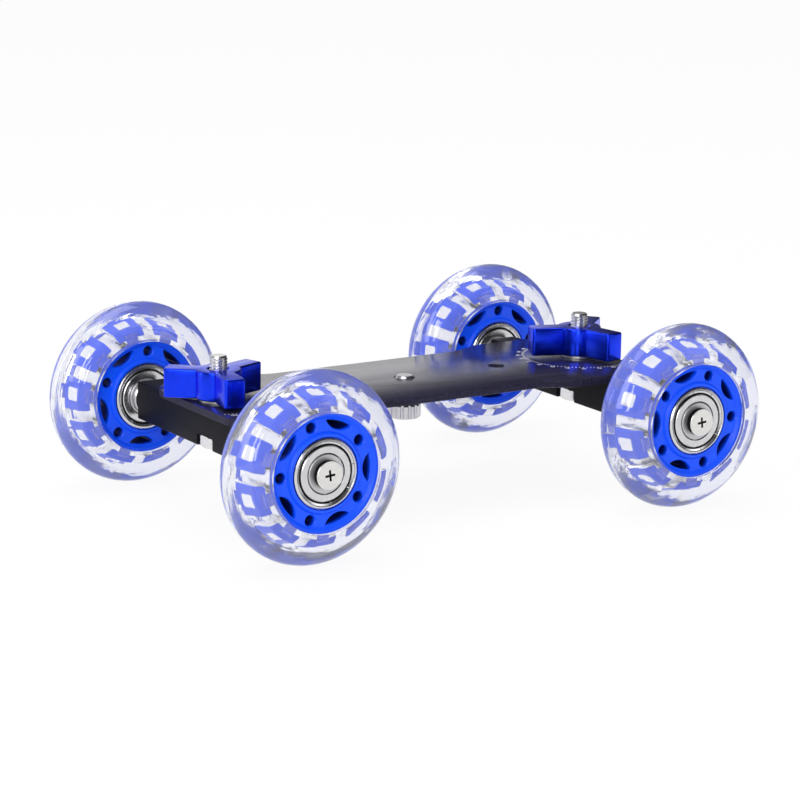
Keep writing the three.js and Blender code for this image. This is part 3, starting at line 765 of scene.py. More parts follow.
def pivot_matrix(side):
    """A truck's pivot, on the floor."""
    x, y, _ = JOINTS[f"truck_{side}_steer"]["pos_m"]
    return Matrix.Translation((x, y, 0))


def truck_of(corner):
    """The body of the truck that carries the wheel at a corner."""
    return f"truck_{corner.split('_')[1]}"


def drop(*templates):
    """Removes templates that have been copied."""
    for template in templates:
        bpy.data.objects.remove(template)


def mirrored(upper):
    """A profile's upper half and its mirror image, as one closed profile."""
    return [(radius, -height) for radius, height in upper] + list(reversed(upper))


def block_ring(sizes, air, grip, pockets):
    """The mushroom blocks: spun heads on straight necks, ten round the wheel.

    For the hollow in the tyre, air widens the walls and the sloping ends, and grip draws in the crowns.
    """
    inner = sizes.core_radius + sizes.block_neck_height - air
    outer = sizes.core_radius + sizes.block_neck_height + sizes.block_head_height - grip
    half, crown = sizes.block_half_width + air, sizes.crown_half_width + air
    middle = (inner + outer) / 2
    half_turn = math.pi / sizes.blocks - math.asin((sizes.block_gap / 2 - air) / middle)
    head = turned([(inner, -half), (outer, -crown), (outer, crown), (inner, half)], ROUND)
    with editing(head):
        for side in (1, -1):
            away = (-math.sin(half_turn), side * math.cos(half_turn), 0)
            sliced((0, 0, 0), away)
    rounded(head, sizes.block_round)
    if pockets:
        along, across = sizes.pocket_length / 2, sizes.pocket_width / 2
        pocket = slab((outer - sizes.pocket_depth, -along, -across), (outer + OVERRUN, along, across))
        carved(head, rounded(pocket, sizes.block_round))
    neck_side, neck_end = sizes.block_neck_width / 2 + air, half - sizes.block_round
    root = sizes.core_radius - sizes.rim_thickness / 2
    carved(head, slab((root, -neck_side, -neck_end), (middle, neck_side, neck_end)), "UNION")
    return around(head, sizes.blocks, math.pi / sizes.blocks)


class DOLLY_OT_tyres(bpy.types.Operator):
    """Clear tyres, cast round the blocks of their cores"""

    bl_idname = "dolly.tyres"
    bl_label = "Tyres"

    def execute(self, context):
        sizes = context.scene.dolly_wheel
        bore = sizes.core_radius - sizes.bond
        lip = sizes.core_radius + sizes.tyre_lip
        edge, inside = sizes.tyre_half_width, sizes.block_half_width
        bulge = edge / math.sin(sizes.tyre_edge)
        depth = (sizes.tyre_radius - lip) / (1 - math.cos(sizes.tyre_edge))
        steps = 30
        turns = [sizes.tyre_edge * (2 * k / steps - 1) for k in range(steps + 1)]
        crown = [
            (sizes.tyre_radius - depth * (1 - math.cos(turn)), bulge * math.sin(turn)) for turn in turns
        ]
        tyre = turned([(bore, -edge), *crown, (bore, edge)], ROUND)
        rounded(tyre, sizes.tyre_round, segments=3, limit=25.0)
        loose = sizes.core_radius + sizes.shrinkage
        carved(tyre, turned([(loose, -inside), (loose, inside)], ROUND, filled=True))
        carved(tyre, block_ring(sizes, sizes.shrinkage, sizes.bond, pockets=False))
        tidied(tyre)
        clothe(tyre, clear_urethane(sizes.urethane))
        for corner in CORNERS:
            matrix = wheel_matrix(corner, getattr(sizes, f"phase_{corner}"))
            body, node = f"wheel_{corner}", f"tyre_{corner}"
            stand_in(tyre, f"clear_tyre_{corner}", matrix, body, node)
        drop(tyre)
        return {"FINISHED"}


def web_cutter(cutter, centre, flare, size):
    """Flares both mouths of an upright cutter, so that the edges it leaves are chamfered."""
    grow = [1 + 2 * flare / side for side in size]
    with editing(cutter):
        for side in (1, -1):
            pick("FACE", lambda face: face.normal.z * side > 0.9)
            pull(0, 0, side * flare)
            bpy.ops.transform.resize(value=(*grow, 1), center_override=(*centre, 0))
    return cutter


class DOLLY_OT_wheel_cores(bpy.types.Operator):
    """Moulded blue cores with their holes, slots, collars and mushroom blocks"""

    bl_idname = "dolly.wheel_cores"
    bl_label = "Wheel cores"

    def execute(self, context):
        sizes = context.scene.dolly_wheel
        edge = sizes.edge
        web = sizes.web_half_width
        inner_rim = sizes.core_radius - sizes.rim_thickness
        upper = [
            (sizes.shoulder_radius, sizes.seat_depth),
            (sizes.seat_radius, sizes.seat_depth),
            (sizes.seat_radius, sizes.boss_half_width - sizes.relief_depth),
            (sizes.seat_radius + sizes.relief, sizes.boss_half_width - sizes.relief_depth),
            (sizes.seat_radius + sizes.relief, sizes.boss_half_width),
            (sizes.boss_radius - edge, sizes.boss_half_width),
            (sizes.boss_radius, sizes.boss_half_width - edge),
            (sizes.boss_radius + edge, web),
            (inner_rim - 2 * edge, web),
            (inner_rim, sizes.core_half_width - edge / 2),
            (inner_rim + edge / 2, sizes.core_half_width),
            (sizes.core_radius - edge / 2, sizes.core_half_width),
            (sizes.core_radius, sizes.core_half_width - edge / 2),
        ]
        core = turned(mirrored(upper), ROUND)
        carved(core, block_ring(sizes, 0.0, 0.0, pockets=True), "UNION")
        centre = sizes.slot_radius - sizes.slot_depth / 2
        mouth = web - edge
        hole = added(
            "cylinder", vertices=SHANK, radius=sizes.hole_radius, depth=2 * mouth, location=(centre, 0, 0)
        )
        web_cutter(hole, (centre, 0), 2 * edge, (2 * sizes.hole_radius, 2 * sizes.hole_radius))
        carved(core, around(hole, sizes.blocks // 2))
        slot = outlined(self.lens(sizes), -mouth, mouth)
        web_cutter(slot, (centre, 0), 2 * edge, (sizes.slot_depth, sizes.slot_length))
        carved(core, around(slot, sizes.blocks // 2, math.tau / sizes.blocks))
        tidied(core)
        clothe(core, blue_moulding(sizes))
        for corner in CORNERS:
            matrix = wheel_matrix(corner, getattr(sizes, f"phase_{corner}"))
            body, node = f"wheel_{corner}", f"wheel_core_{corner}"
            stand_in(core, f"blue_core_{corner}", matrix, body, node)
        drop(core)
        return {"FINISHED"}

    def lens(self, sizes):
        """The outline of a slot: an arc round the axle, and a deeper one that meets it, with blunt tips."""
        half, outer = sizes.slot_length / 2, sizes.slot_radius
        reach = math.asin(half / outer)
        tip, deepest = outer * math.cos(reach), outer - sizes.slot_depth
        centre = (tip**2 + half**2 - deepest**2) / (2 * (tip - deepest))
        bulge = centre - deepest
        steps = 14
        spread = [0.93 * (2 * k / steps - 1) for k in range(steps + 1)]
        inner_reach = math.asin(half / bulge)
        outside = [(outer * math.cos(reach * part), outer * math.sin(reach * part)) for part in spread]
        inside = [
            (centre - bulge * math.cos(inner_reach * part), -bulge * math.sin(inner_reach * part))
            for part in spread
        ]
        return outside + inside


class DOLLY_OT_bearings(bpy.types.Operator):
    """Ball bearings with rolled-in shields, two in each wheel"""

    bl_idname = "dolly.bearings"
    bl_label = "Bearings"

    def execute(self, context):
        sizes = context.scene.dolly_bearing
        half, chamfer = sizes.width / 2, sizes.chamfer
        shield = half - sizes.shield_drop
        pitch = (sizes.radius + sizes.bore) / 2
        race = pitch + sizes.ball_radius
        wall = race - 0.35 * MM
        land, rim, flat = sizes.outer_land, sizes.rim_radius, sizes.shield_radius
        floor = half - sizes.groove_depth
        # the ring's outside and face, the rolled rim, the groove, the shield's two sides and the race
        ring = turned([
            (sizes.radius - chamfer, -half), (sizes.radius, -half + chamfer), (sizes.radius, half - chamfer),
            (sizes.radius - chamfer, half - 0.06 * MM), (land + 0.12 * MM, half), (land, half - 0.12 * MM),
            (land - 0.04 * MM, half - 0.4 * MM), (land - 0.12 * MM, half - 0.2 * MM),
            (rim + 0.1 * MM, half - 0.45 * MM), (rim, half - 0.6 * MM), (rim - 0.04 * MM, floor),
            (flat + 0.04 * MM, floor), (flat, shield - 0.25 * MM), (flat - 0.25 * MM, shield),
            (sizes.shield_bore + 0.12 * MM, shield), (sizes.shield_bore, shield - 0.1 * MM),
            (sizes.shield_bore, shield - 0.3 * MM), (flat - 0.4 * MM, shield - 0.4 * MM),
            (flat - 0.4 * MM, floor - 0.2 * MM), (wall, floor - 0.2 * MM), (wall, 1.4 * MM),
            (race, 0.5 * MM), (race, -0.5 * MM), (wall, -1.4 * MM), (wall, -half + 0.1 * MM),
            (wall + 0.1 * MM, -half),
        ], TURNED)
        notch = slab(
            (rim - 0.02 * MM, -sizes.tick_width / 2, half - 0.8 * MM),
            (land - 0.1 * MM, sizes.tick_width / 2, half + PROUD),
        )
        carved(ring, around(notch, sizes.ticks, NOTCH_TURN))
        tidied(ring, 28.0)
        steel = ground_steel(sizes.steel, 0.16, name="ground_outer_ring")
        clothe(ring, steel, dull(sizes.oil, 0.6, name="oily_groove"))
        # Painted shade: the faces down in the groove take the black material in place of their shadow.
        sunk = half - 0.5 * MM
        painted(ring, 1, lambda each: flat < each.center.xy.length < rim and each.center.z < sunk)
        land = sizes.inner_land
        inner = turned(mirrored([
            (land - 0.7 * MM, 0.4 * MM), (land, 1.4 * MM), (land, half - chamfer / 2),
            (land - chamfer / 2, half), (sizes.bore + chamfer, half), (sizes.bore, half - chamfer),
        ]), TURNED)
        tidied(inner, 28.0)
        clothe(inner, ground_steel(sizes.steel, 0.40, name="ground_inner_ring"))
        cage = turned(mirrored([(pitch - 0.9 * MM, 0.25 * MM), (pitch + 0.9 * MM, 0.25 * MM)]), TURNED)
        ball = added(
            "uv_sphere", segments=24, ring_count=14, radius=sizes.ball_radius, location=(pitch, 0, 0)
        )
        carved(cage, around(ball, sizes.balls), "UNION")
        tidied(cage, 40.0)
        clothe(cage, plated_steel(sizes.steel, 0.08, name="bright_balls"))
        for corner in CORNERS:
            pieces = (
                (ring, "shielded_ring", f"wheel_{corner}", "outer_ring"),
                (inner, "bored_ring", truck_of(corner), "inner_ring"),
                (cage, "caged_balls", f"ball_cages_{corner}", "ball_cage"),
            )
            for place in ("outboard", "inboard"):
                matrix = bearing_matrix(corner, place, sizes)
                for template, name, body, node in pieces:
                    name, node = f"{name}_{place}_{corner}", f"{place}_{node}_{corner}"
                    stand_in(template, name, matrix, body, node)
        drop(ring, inner, cage)
        return {"FINISHED"}


class DOLLY_OT_axles(bpy.types.Operator):
    """Axle screws with their cross recess, and the spacers and sleeves on them"""

    bl_idname = "dolly.axles"
    bl_label = "Axle screws and spacers"

    def execute(self, context):
        sizes = context.scene.dolly_bearing
        face = sizes.spacing / 2 + sizes.width
        top = face + sizes.head_height
        bar_end = -face - sizes.axle_spacer
        head, chamfer = sizes.head_radius, 0.15 * MM
        disc = top - sizes.head_disc
        screw = turned([
            (sizes.screw_radius - 2 * chamfer, bar_end - sizes.grip),
            (sizes.screw_radius, bar_end - sizes.grip + 2 * chamfer), (sizes.screw_radius, face - 0.1 * MM),
            (head - 2.2 * chamfer, face), (head - 2.2 * chamfer, disc), (head - chamfer, disc),
            (head, disc + chamfer), (head, top - chamfer), (head - chamfer, top), (0.3 * MM, top),
        ], TURNED, filled=True)
        arm = slab(
            (-sizes.cross_reach / 2, -sizes.cross_width / 2, top - sizes.cross_depth),
            (sizes.cross_reach / 2, sizes.cross_width / 2, top + OVERRUN),
        )
        cross = carved(copied(arm, Matrix.Rotation(math.pi / 2, 4, "Z")), arm, "UNION")
        carved(screw, settle_turned(cross, CROSS_TURN))
        tidied(screw, 28.0)
        plating = plated_steel(sizes.plating, 0.2, name="plated_screw")
        clothe(screw, plating, dull(sizes.neck, 0.6, name="blackened_neck"))
        # Painted shade: the head's side under the bright disc, and the cross recess, take the black material
        # in place of their shade.
        painted(screw, 1, lambda each: face < each.center.z < top - chamfer)
        painted(screw, 1, lambda each: is_recess(each, top, sizes))
        between = turned_tube(sizes.bore, sizes.spacer_radius, -sizes.spacing / 2, sizes.spacing / 2)
        beside = turned_tube(sizes.bore, sizes.spacer_radius, bar_end, -face)
        sleeve = turned_tube(sizes.screw_radius + SNUG, sizes.bore - SNUG, bar_end, face)
        steel = plated_steel(sizes.steel, 0.22, name="turned_spacer")
        for spacer in (between, beside, sleeve):
            clothe(spacer, steel)
        pieces = (
            (screw, "flat_screw", "axle_screw"),
            (between, "inner_spacer", "bearing_spacer"),
            (beside, "bar_spacer", "axle_spacer"),
            (sleeve, "reducing_sleeve", "axle_sleeve"),
        )
        for corner in CORNERS:
            matrix, body = wheel_matrix(corner), truck_of(corner)
            for template, name, node in pieces:
                stand_in(template, f"{name}_{corner}", matrix, body, f"{node}_{corner}")
        drop(screw, between, beside, sleeve)
        return {"FINISHED"}


def settle_turned(piece, turn):
    """Turns a piece round the Z axis, in its mesh."""
    piece.matrix_world = Matrix.Rotation(turn, 4, "Z")
    return settle(piece)


def is_recess(face, top, sizes):
    """Whether a face lies in the cross recess of an axle screw."""
    inside = face.center.xy.length < sizes.cross_reach / 2 + 0.05 * MM
    return inside and top - 2 * sizes.cross_depth < face.center.z < top - 0.02 * MM


def turned_tube(bore, radius, bottom, top):
    """A short tube with chamfered ends."""
    cut = min(0.2 * MM, (radius - bore) / 4)
    return tidied(turned([
        (bore + cut, bottom), (radius - cut, bottom), (radius, bottom + cut), (radius, top - cut),
        (radius - cut, top), (bore + cut, top), (bore, top - cut), (bore, bottom + cut),
    ], TURNED))


def threaded(radius, depth, pitch, bottom, top, tip):
    """A rod with a real helical thread, its tip chamfered."""
    rod = added("circle", vertices=5, radius=radius)
    start = bottom - 2 * pitch
    root = radius - depth  # each flank is a radius and a share of the pitch
    flanks = ((root, 0.0), (radius, 0.40), (radius, 0.55), (root, 0.95), (root, 1.0))
    for corner, (out, climb) in zip(rod.data.vertices, flanks):
        corner.co = (out, 0, start + climb * pitch)
    with editing(rod):
        pick("EDGE", lambda each: span(each, 2) > 0.97 * pitch)
        bpy.ops.mesh.delete(type="EDGE")
    turns = math.ceil((top - bottom) / pitch) + 4
    modified(
        rod, "SCREW", screw_offset=pitch, iterations=turns, steps=SHANK, render_steps=SHANK,
        use_merge_vertices=True, merge_threshold=0.01 * MM, axis="Z",
    )
    with editing(rod):
        bpy.ops.mesh.select_all(action="SELECT")
        bpy.ops.mesh.remove_doubles(threshold=0.005 * MM)
        for height, side in ((bottom - 0.513 * pitch, -1), (top + 0.513 * pitch, 1)):
            sliced((0, 0, height), (0, 0, side))
        face_outwards()
    envelope = turned([
        (radius + depth, bottom), (radius + depth, top - tip - depth), (radius - tip, top),
    ], SHANK, filled=True)
    return carved(rod, envelope, "INTERSECT")


class DOLLY_OT_truck_bars(bpy.types.Operator):
    """Black truck bars, slotted across the bottom for the bolt head"""

    bl_idname = "dolly.truck_bars"
    bl_label = "Truck bars"

    def execute(self, context):
        sizes = context.scene.dolly_truck
        axle = context.scene.dolly_stage.axle
        width, height, reach = sizes.bar_width / 2, sizes.bar_height / 2, sizes.bar_length / 2
        bottom, top = axle - height, axle + height
        bar = rounded(slab((-width, -reach, bottom), (width, reach, top)), sizes.bar_round, 3)
        half = sizes.head_flats / 2 + sizes.slot_clearance
        slot = slab(
            (-width - OVERRUN, -half, bottom - OVERRUN), (width + OVERRUN, half, bottom + sizes.head_height)
        )
        with editing(slot):
            pick("EDGE", lambda each: min(v.co.z for v in each.verts) > bottom and span(each, 0) > width)
            bpy.ops.mesh.bevel(offset=sizes.slot_clearance + sizes.head_chamfer, segments=3, affect="EDGES")
        carved(bar, slot)
        radius = sizes.pivot_bore
        carved(bar, turned([(radius, bottom), (radius, top + OVERRUN)], SHANK, filled=True))
        bearing = context.scene.dolly_bearing
        deep = reach - bearing.grip - 2 * MM
        axle_hole = turned([
            (bearing.screw_radius + SNUG, deep), (bearing.screw_radius + SNUG, reach + OVERRUN),
        ], SHANK, filled=True)
        for turn in (-math.pi / 2, math.pi / 2):
            place = Matrix.Translation((0, 0, axle)) @ Matrix.Rotation(turn, 4, "X")
            carved(bar, copied(axle_hole, place))
        tidied(bar)
        clothe(bar, bar_black(sizes.black))
        for side in SIDES:
            body, node = f"truck_{side}", f"truck_bar_{side}"
            stand_in(bar, f"black_bar_{side}", pivot_matrix(side), body, node)
        drop(bar, axle_hole)
        return {"FINISHED"}


class DOLLY_OT_pivot_bolts(bpy.types.Operator):
    """Hexagon bolts that the trucks turn on, with their threads"""

    bl_idname = "dolly.pivot_bolts"
    bl_label = "Pivot bolts"

    def execute(self, context):
        sizes = context.scene.dolly_truck
        bottom, tip = (corner.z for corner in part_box("pivot_bolt_left"))
        corner = sizes.head_flats / 2 / math.cos(math.pi / 6)
        cap = sizes.head_chamfer
        top = bottom + sizes.head_height
        head = turned([(corner, bottom), (corner, top)], 6, filled=True)
        dome = turned([
            (corner - 2 * cap, bottom), (corner, bottom + cap), (corner, top - cap / 2), (corner - cap, top),
        ], TURNED, filled=True)
        carved(head, dome, "INTERSECT")
        with editing(head):
            pick("FACE", lambda face: face.normal.z < -0.9)
            bpy.ops.mesh.inset(thickness=sizes.head_rim, depth=-sizes.head_dish)
        depth, pitch = sizes.thread_depth, sizes.bolt_pitch
        rod = threaded(sizes.bolt_radius, depth, pitch, top - depth, tip, sizes.bolt_chamfer)
        carved(head, rod, "UNION")
        tidied(head, 30.0)
        clothe(head, plated_steel(sizes.zinc, 0.16, name="zinc_bolt"))
        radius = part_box("knob_washer_left")[1].x - pivot_matrix("left").translation.x
        washer = turned_tube(sizes.bolt_radius + EASY, radius, DECK_TOP, DECK_TOP + sizes.washer_thickness)
        clothe(washer, plated_steel(sizes.zinc, 0.25, name="zinc_washer"))
        for side in SIDES:
            matrix = pivot_matrix(side)
            name = f"knob_washer_{side}"
            stand_in(head, f"hexagon_bolt_{side}", matrix, f"truck_{side}", f"pivot_bolt_{side}")
            stand_in(washer, f"flat_washer_{side}", matrix, name, name)
        drop(head, washer)
        return {"FINISHED"}


class DOLLY_OT_star_knobs(bpy.types.Operator):
    """Blue star knobs with three straight arms"""

    bl_idname = "dolly.star_knobs"
    bl_label = "Star knobs"

    def execute(self, context):
        sizes = context.scene.dolly_truck
        half, reach, hub = sizes.knob_arm / 2, sizes.knob_reach, sizes.knob_hub
        root = math.sqrt(hub**2 - half**2)
        pitch = math.tau / sizes.knob_arms
        first, last = math.atan2(half, root), pitch - math.atan2(half, root)
        steps = 12
        turns = [first + (last - first) * k / steps for k in range(steps + 1)]
        hollow = [(hub * math.cos(turn), hub * math.sin(turn)) for turn in turns]
        third = [(reach, -half), (reach, half), *hollow]
        points = [
            Matrix.Rotation(k * pitch, 2) @ Vector(point) for k in range(sizes.knob_arms) for point in third
        ]
        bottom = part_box("star_knob_left")[0].z
        knob = outlined(points, bottom, bottom + sizes.knob_height)
        level = 0.1 * MM  # an edge that climbs less than this is level
        far = reach - level
        with editing(knob):
            pick("EDGE", lambda each: each.verts[0].co.xy.length > far and span(each, 2) > level)
            bpy.ops.mesh.bevel(offset=sizes.knob_corner, segments=3, affect="EDGES", profile=0.5)
            pick("EDGE", lambda each: each.calc_face_angle(0) > math.radians(60) and span(each, 2) < level)
            bpy.ops.mesh.bevel(offset=sizes.knob_edge, segments=3, affect="EDGES", profile=0.5)
        top = bottom + sizes.knob_height
        bore, sink, deep = sizes.bolt_radius + EASY, sizes.knob_countersink, sizes.countersink_depth
        carved(knob, turned([
            (sink, bottom - PROUD), (bore, bottom + deep), (bore, top - deep), (sink, top + PROUD),
        ], SHANK, filled=True))
        tidied(knob, 35.0)
        clothe(knob, anodised_blue(sizes.anodised))
        for side in SIDES:
            matrix = pivot_matrix(side) @ Matrix.Rotation(getattr(sizes, f"knob_angle_{side}"), 4, "Z")
            name = f"star_knob_{side}"
            stand_in(knob, f"three_arm_knob_{side}", matrix, name, name)
        drop(knob)
        return {"FINISHED"}


class DOLLY_OT_deck(bpy.types.Operator):
    """The waisted black deck with its holes"""

    bl_idname = "dolly.deck"
    bl_label = "Deck"

    def execute(self, context):
        sizes = context.scene.dolly_deck
        deck = added("plane", size=1, location=(0.5, 0, 0))
        deck.scale = (sizes.waist_end, 2 * sizes.waist, 1)
        deck.location.z = DECK_TOP
        settle(deck)
        steps = 10
        stations = []
        for k in range(1, steps + 1):
            t = k / steps
            flare = t * t * (3 - 2 * t)
            stations.append((
                sizes.waist_end + t * (sizes.flare_end - sizes.waist_end),
                sizes.waist + flare * (sizes.half_width - sizes.waist),
            ))
        for k in range(steps + 1):
            turn = math.pi / 2 * k / steps
            stations.append((
                sizes.end - sizes.corner * (1 - math.sin(turn)),
                sizes.half_width - sizes.corner * (1 - math.cos(turn)),
            ))
        x, y = sizes.waist_end, sizes.waist
        with editing(deck):
            pick("EDGE", lambda each: all(v.co.x > sizes.waist_end - MM for v in each.verts))
            for next_x, next_y in stations:
                pull(next_x - x, 0, 0)
                bpy.ops.transform.resize(value=(1, next_y / y, 1), center_override=(next_x, 0, DECK_TOP))
                x, y = next_x, next_y
        modified(deck, "MIRROR", use_axis=(True, False, False), merge_threshold=0.01 * MM)
        with editing(deck):
            face_outwards()
            bpy.ops.mesh.dissolve_limited(angle_limit=math.radians(0.5))
            bpy.ops.mesh.select_all(action="SELECT")
            pull(0, 0, DECK_BOTTOM - DECK_TOP)
            face_outwards()
        rounded(deck, sizes.edge, 2, 45.0)
        pivot = pivot_matrix("right").translation.x
        bores = {
            0.0: sizes.camera_hole,
            sizes.accessory_place: sizes.accessory_hole,
            -sizes.accessory_place: sizes.accessory_hole,
            pivot: sizes.pivot_hole,
            -pivot: sizes.pivot_hole,
        }
        cut = sizes.countersink
        for place, bore in bores.items():
            cutter = turned([
                (bore + cut + PROUD, DECK_BOTTOM - PROUD), (bore, DECK_BOTTOM + cut),
                (bore, DECK_TOP - cut), (bore + cut + PROUD, DECK_TOP + PROUD),
            ], SHANK, filled=True)
            cutter.location.x = place
            carved(deck, settle(cutter))
        tidied(deck)
        clothe(deck, brushed_black(sizes.brushed), sawn_black(sizes.brushed))
        painted(deck, 1, lambda face: abs(face.normal.z) < 0.6)
        stand_in(deck, "brushed_deck", Matrix.Identity(4), "deck", "deck_plate")
        drop(deck)
        return {"FINISHED"}


class DOLLY_OT_scale_rings(bpy.types.Operator):
    """White degree scales on the deck, round both pivots"""

    bl_idname = "dolly.scale_rings"
    bl_label = "Scale rings"

    def execute(self, context):
        sizes = context.scene.dolly_deck
        bottom, top = DECK_TOP - sizes.scale_paint, DECK_TOP + sizes.scale_paint
        width = sizes.scale_width / 2
        marks = []
        steps = round(sizes.scale_reach / sizes.scale_step)
        for k in range(-steps, steps + 1):
            numbered = k % sizes.scale_numbered == 0
            turn = k * sizes.scale_step
            outer = sizes.scale_inner + sizes.scale_tick * (1.5 if numbered else 1.0)
            tick = slab((sizes.scale_inner, -width, bottom), (outer, width, top))
            marks.append(settle_turned(tick, turn))
            if numbered:
                bpy.ops.object.text_add()
                number = bpy.context.object
                number.data.body = str(abs(round(math.degrees(turn))))
                number.data.align_x, number.data.align_y = "CENTER", "CENTER"
                number.data.size = sizes.scale_digit
                number.data.extrude = sizes.scale_paint
                number.data.resolution_u = 2
                reach = sizes.scale_inner + 1.5 * sizes.scale_tick + sizes.scale_digit / 2
                upright = Matrix.Rotation(math.pi / 2, 4, "Z")
                shift = Matrix.Translation((reach, 0, DECK_TOP))
                number.matrix_world = Matrix.Rotation(turn, 4, "Z") @ shift @ upright
                only(number)
                bpy.ops.object.convert(target="MESH")
                marks.append(settle(bpy.context.object))
        ring = tidied(joined(marks))
        clothe(ring, dull(sizes.paint, 0.45, name="white_paint"))
        remember_places(ring)
        for side in SIDES:
            inwards = Matrix.Rotation(0.0 if side == "left" else math.pi, 4, "Z")
            copy = copied(ring, pivot_matrix(side) @ inwards)
            copy.name = f"degree_scale_{side}"
            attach(copy, "deck")
        drop(ring)
        return {"FINISHED"}


class DOLLY_OT_camera_screw(bpy.types.Operator):
    """The ribbed camera screw under the deck, and its washer"""

    bl_idname = "dolly.camera_screw"
    bl_label = "Camera screw"

    def execute(self, context):
        sizes = context.scene.dolly_deck
        bottom, tip = (corner.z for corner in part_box("camera_screw"))
        washer_bottom, washer_top = (corner.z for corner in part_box("camera_screw_washer"))
        radius, edge, rim = sizes.head_radius, sizes.head_edge, sizes.head_rim
        head = turned([
            (radius - rim + 0.2 * MM, bottom + sizes.head_dish), (radius - rim, bottom),
            (radius - edge, bottom), (radius, bottom + edge), (radius, washer_bottom - edge),
            (radius - edge, washer_bottom),
        ], TURNED, filled=True)
        groove = sizes.rib_groove
        place = (radius + groove - sizes.rib_depth, 0, bottom)
        cutter = added("cylinder", vertices=16, radius=groove, depth=20 * MM, location=place)
        carved(head, around(cutter, sizes.head_ribs))
        start, depth = washer_bottom - sizes.head_edge, sizes.thread_depth
        rod = threaded(sizes.thread_radius, depth, sizes.thread_pitch, start, tip, sizes.thread_chamfer)
        carved(head, rod, "UNION")
        tidied(head, 30.0)
        clothe(head, ground_steel(sizes.screw, 0.14, name="turned_screw"))
        bore, outside = sizes.thread_radius + EASY, sizes.washer_radius
        washer = turned_tube(bore, outside, washer_bottom + HAIR, washer_top)
        clothe(washer, dull(sizes.nylon, 0.5, name="black_nylon_washer"))
        still = Matrix.Identity(4)
        stand_in(head, "ribbed_camera_screw", still, "camera_screw", "camera_screw")
        stand_in(washer, "nylon_washer", still, "camera_washer", "camera_screw_washer")
        drop(head, washer)
        return {"FINISHED"}


LAMPS = {  # place, width, height, watts
    "overhead": ((-0.1, 0.15, 0.95), 0.9, 0.5, 4.0),
    "left_key": ((-1.0, -0.55, 0.55), 0.35, 0.8, 4.6),
    "right_fill": ((0.75, -0.9, 0.5), 0.5, 0.5, 1.6),
    "left_strip": ((-0.75, 0.45, 0.3), 0.12, 0.6, 1.0),
    "front_strip": ((-0.62, -0.85, 0.32), 0.12, 0.5, 2.2),
}
LAMP_TARGET = (0, 0, 0.03)


def soft_box(name, place, width, height, watts):
    """An area lamp that points at the object."""
    light = bpy.data.lights.new(name, "AREA")
    light.shape = "RECTANGLE"
    light.size, light.size_y = width, height
    light.energy = watts
    lamp = bpy.data.objects.new(name, light)
    bpy.context.scene.collection.objects.link(lamp)
    lamp.location = place
    lamp.rotation_mode = "QUATERNION"
    lamp.rotation_quaternion = (Vector(LAMP_TARGET) - Vector(place)).to_track_quat("-Z", "Y")


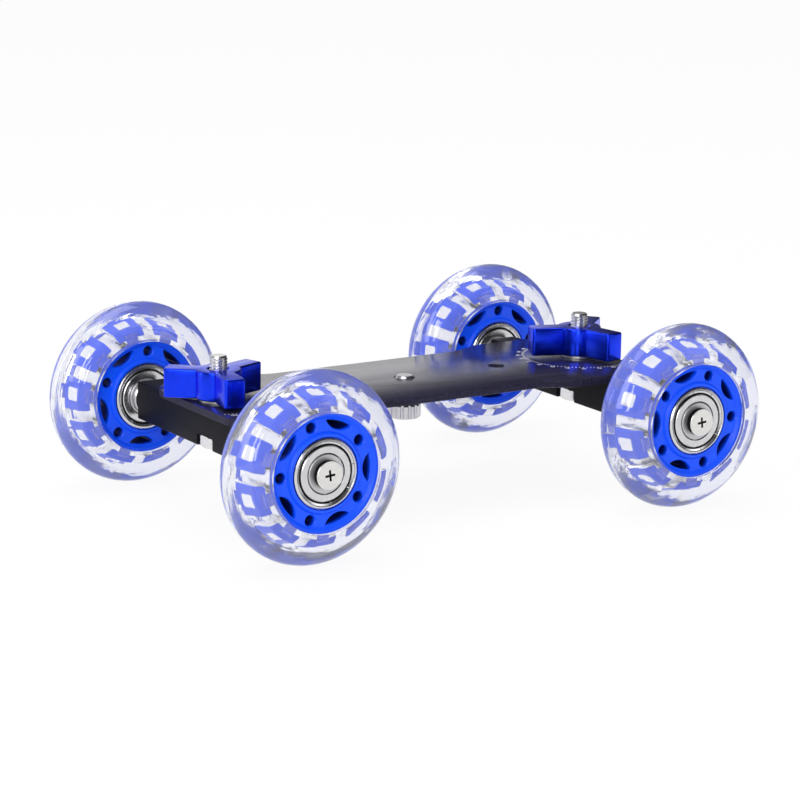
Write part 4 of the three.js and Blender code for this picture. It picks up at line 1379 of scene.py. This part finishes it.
class DOLLY_OT_stage(bpy.types.Operator):
    """Floor, surroundings, lamps and camera"""

    bl_idname = "dolly.stage"
    bl_label = "Stage"

    def execute(self, context):
        sizes = context.scene.dolly_stage
        floor = added("plane", size=sizes.floor)
        floor.name = "pale_floor"
        clothe(floor, self.floor_material(sizes))
        back = Vector((
            math.sin(sizes.azimuth) * math.cos(sizes.elevation),
            -math.cos(sizes.azimuth) * math.cos(sizes.elevation),
            math.sin(sizes.elevation),
        ))
        right = (-back).cross(Vector((0, 0, 1))).normalized()
        up = right.cross(-back)
        turn = math.cos(sizes.roll), math.sin(sizes.roll)
        right, up = right * turn[0] + up * turn[1], up * turn[0] - right * turn[1]
        target = up * sizes.look_up - right * sizes.look_right + Vector((0, 0, sizes.axle))
        camera = bpy.data.objects.new("camera", bpy.data.cameras.new("camera"))
        context.scene.collection.objects.link(camera)
        aim = Matrix((right, up, back)).transposed().to_4x4()
        camera.matrix_world = Matrix.Translation(target + back * sizes.distance) @ aim
        camera.data.lens = sizes.lens
        camera.data.clip_start, camera.data.clip_end = 0.05, 50.0
        context.scene.camera = camera
        self.surroundings(context.scene, sizes, back)
        for name, lamp in LAMPS.items():
            soft_box(name, *lamp)
        context.scene.view_settings.view_transform = "Standard"
        return {"FINISHED"}

    def floor_material(self, sizes):
        """A pale floor that looks white, with a faint shadow."""
        material = bpy.data.materials.new("pale_floor")
        shader = Shader(material)
        grain = shader.noise(shader.place(), 40.0, 3.0)
        tint = shader.blend(grain, rgba(sizes.floor_colour, 0.99), rgba(sizes.floor_colour, 1.01))
        lit = shader.node("ShaderNodeBsdfDiffuse", None, {"Color": tint})
        white = shader.node("ShaderNodeEmission", None, {"Color": (1, 1, 1, 1), "Strength": 1.0})
        seen = shader.rays("Camera", "Glossy", "Transmission") * sizes.floor_white
        mixed = shader.node("ShaderNodeMixShader", None, {0: seen, 1: lit, 2: white})
        shader.node("ShaderNodeOutputMaterial", None, {"Surface": mixed})
        return material

    def surroundings(self, scene, sizes, back):
        """White to the camera and through the tyres; metal mirrors a white sweep in a darker room."""
        scene.world = bpy.data.worlds.new("surroundings")
        shader = Shader(scene.world)
        direction = shader.node("ShaderNodeTexCoord")
        away = Vector((-back.x, -back.y, 0)).normalized()
        level = 1.0
        for axis, start, end, near, far in (
            (away, -0.6, 0.5, sizes.dusk, 1.0),
            (Vector((0, 0, 1)), 0.2, 0.5, 1.0, sizes.ceiling),
            (away.cross(Vector((0, 0, 1))), -0.02, 0.08, 1.0, sizes.far_side),
        ):
            ends = {0: direction, 1: tuple(axis)}
            along = shader.node("ShaderNodeVectorMath", {"operation": "DOT_PRODUCT"}, ends, output=1)
            level = level * shader.node(
                "ShaderNodeMapRange", {"interpolation_type": "SMOOTHSTEP"},
                {"Value": along, "From Min": start, "From Max": end, "To Min": near, "To Max": far},
            )
        lit, room, white = (
            shader.node("ShaderNodeBackground", None, {"Color": (1, 1, 1, 1), "Strength": strength})
            for strength in (sizes.world, level, 1.0)
        )
        glossy = shader.rays("Glossy")
        mixed = shader.node("ShaderNodeMixShader", None, {0: glossy, 1: lit, 2: room})
        seen = shader.rays("Camera", "Transmission")
        mixed = shader.node("ShaderNodeMixShader", None, {0: seen, 1: mixed, 2: white})
        shader.node("ShaderNodeOutputWorld", None, {"Surface": mixed})


GROUPS = {
    "dolly_wheel": WheelSizes,
    "dolly_bearing": BearingSizes,
    "dolly_truck": TruckSizes,
    "dolly_deck": DeckSizes,
    "dolly_stage": StageSizes,
}
OPERATORS = (
    DOLLY_OT_deck,
    DOLLY_OT_scale_rings,
    DOLLY_OT_camera_screw,
    DOLLY_OT_truck_bars,
    DOLLY_OT_pivot_bolts,
    DOLLY_OT_star_knobs,
    DOLLY_OT_wheel_cores,
    DOLLY_OT_tyres,
    DOLLY_OT_bearings,
    DOLLY_OT_axles,
    DOLLY_OT_stage,
)


class DOLLY_PT_pieces(bpy.types.Panel):
    """Lists the dolly's pieces and sizes"""

    bl_idname = "DOLLY_PT_pieces"
    bl_label = "Camera dolly"
    bl_space_type = "VIEW_3D"
    bl_region_type = "UI"
    bl_category = "Dolly"

    def draw(self, context):
        for operator in OPERATORS:
            self.layout.operator(operator.bl_idname)
        for name, group in GROUPS.items():
            box = self.layout.box()
            for size in group.__annotations__:
                box.prop(getattr(context.scene, name), size)


def register():
    """Adds the classes and the settings."""
    for made in (*GROUPS.values(), *OPERATORS, DOLLY_PT_pieces):
        bpy.utils.register_class(made)
    for name, group in GROUPS.items():
        setattr(bpy.types.Scene, name, bpy.props.PointerProperty(type=group))


def unregister():
    """Removes them."""
    for name in GROUPS:
        delattr(bpy.types.Scene, name)
    for made in reversed((*GROUPS.values(), *OPERATORS, DOLLY_PT_pieces)):
        bpy.utils.unregister_class(made)


def main():
    """Makes every piece and the stage."""
    register()
    for operator in OPERATORS:
        group, name = operator.bl_idname.split(".")
        getattr(getattr(bpy.ops, group), name)()


if __name__ == "__main__":
    main()
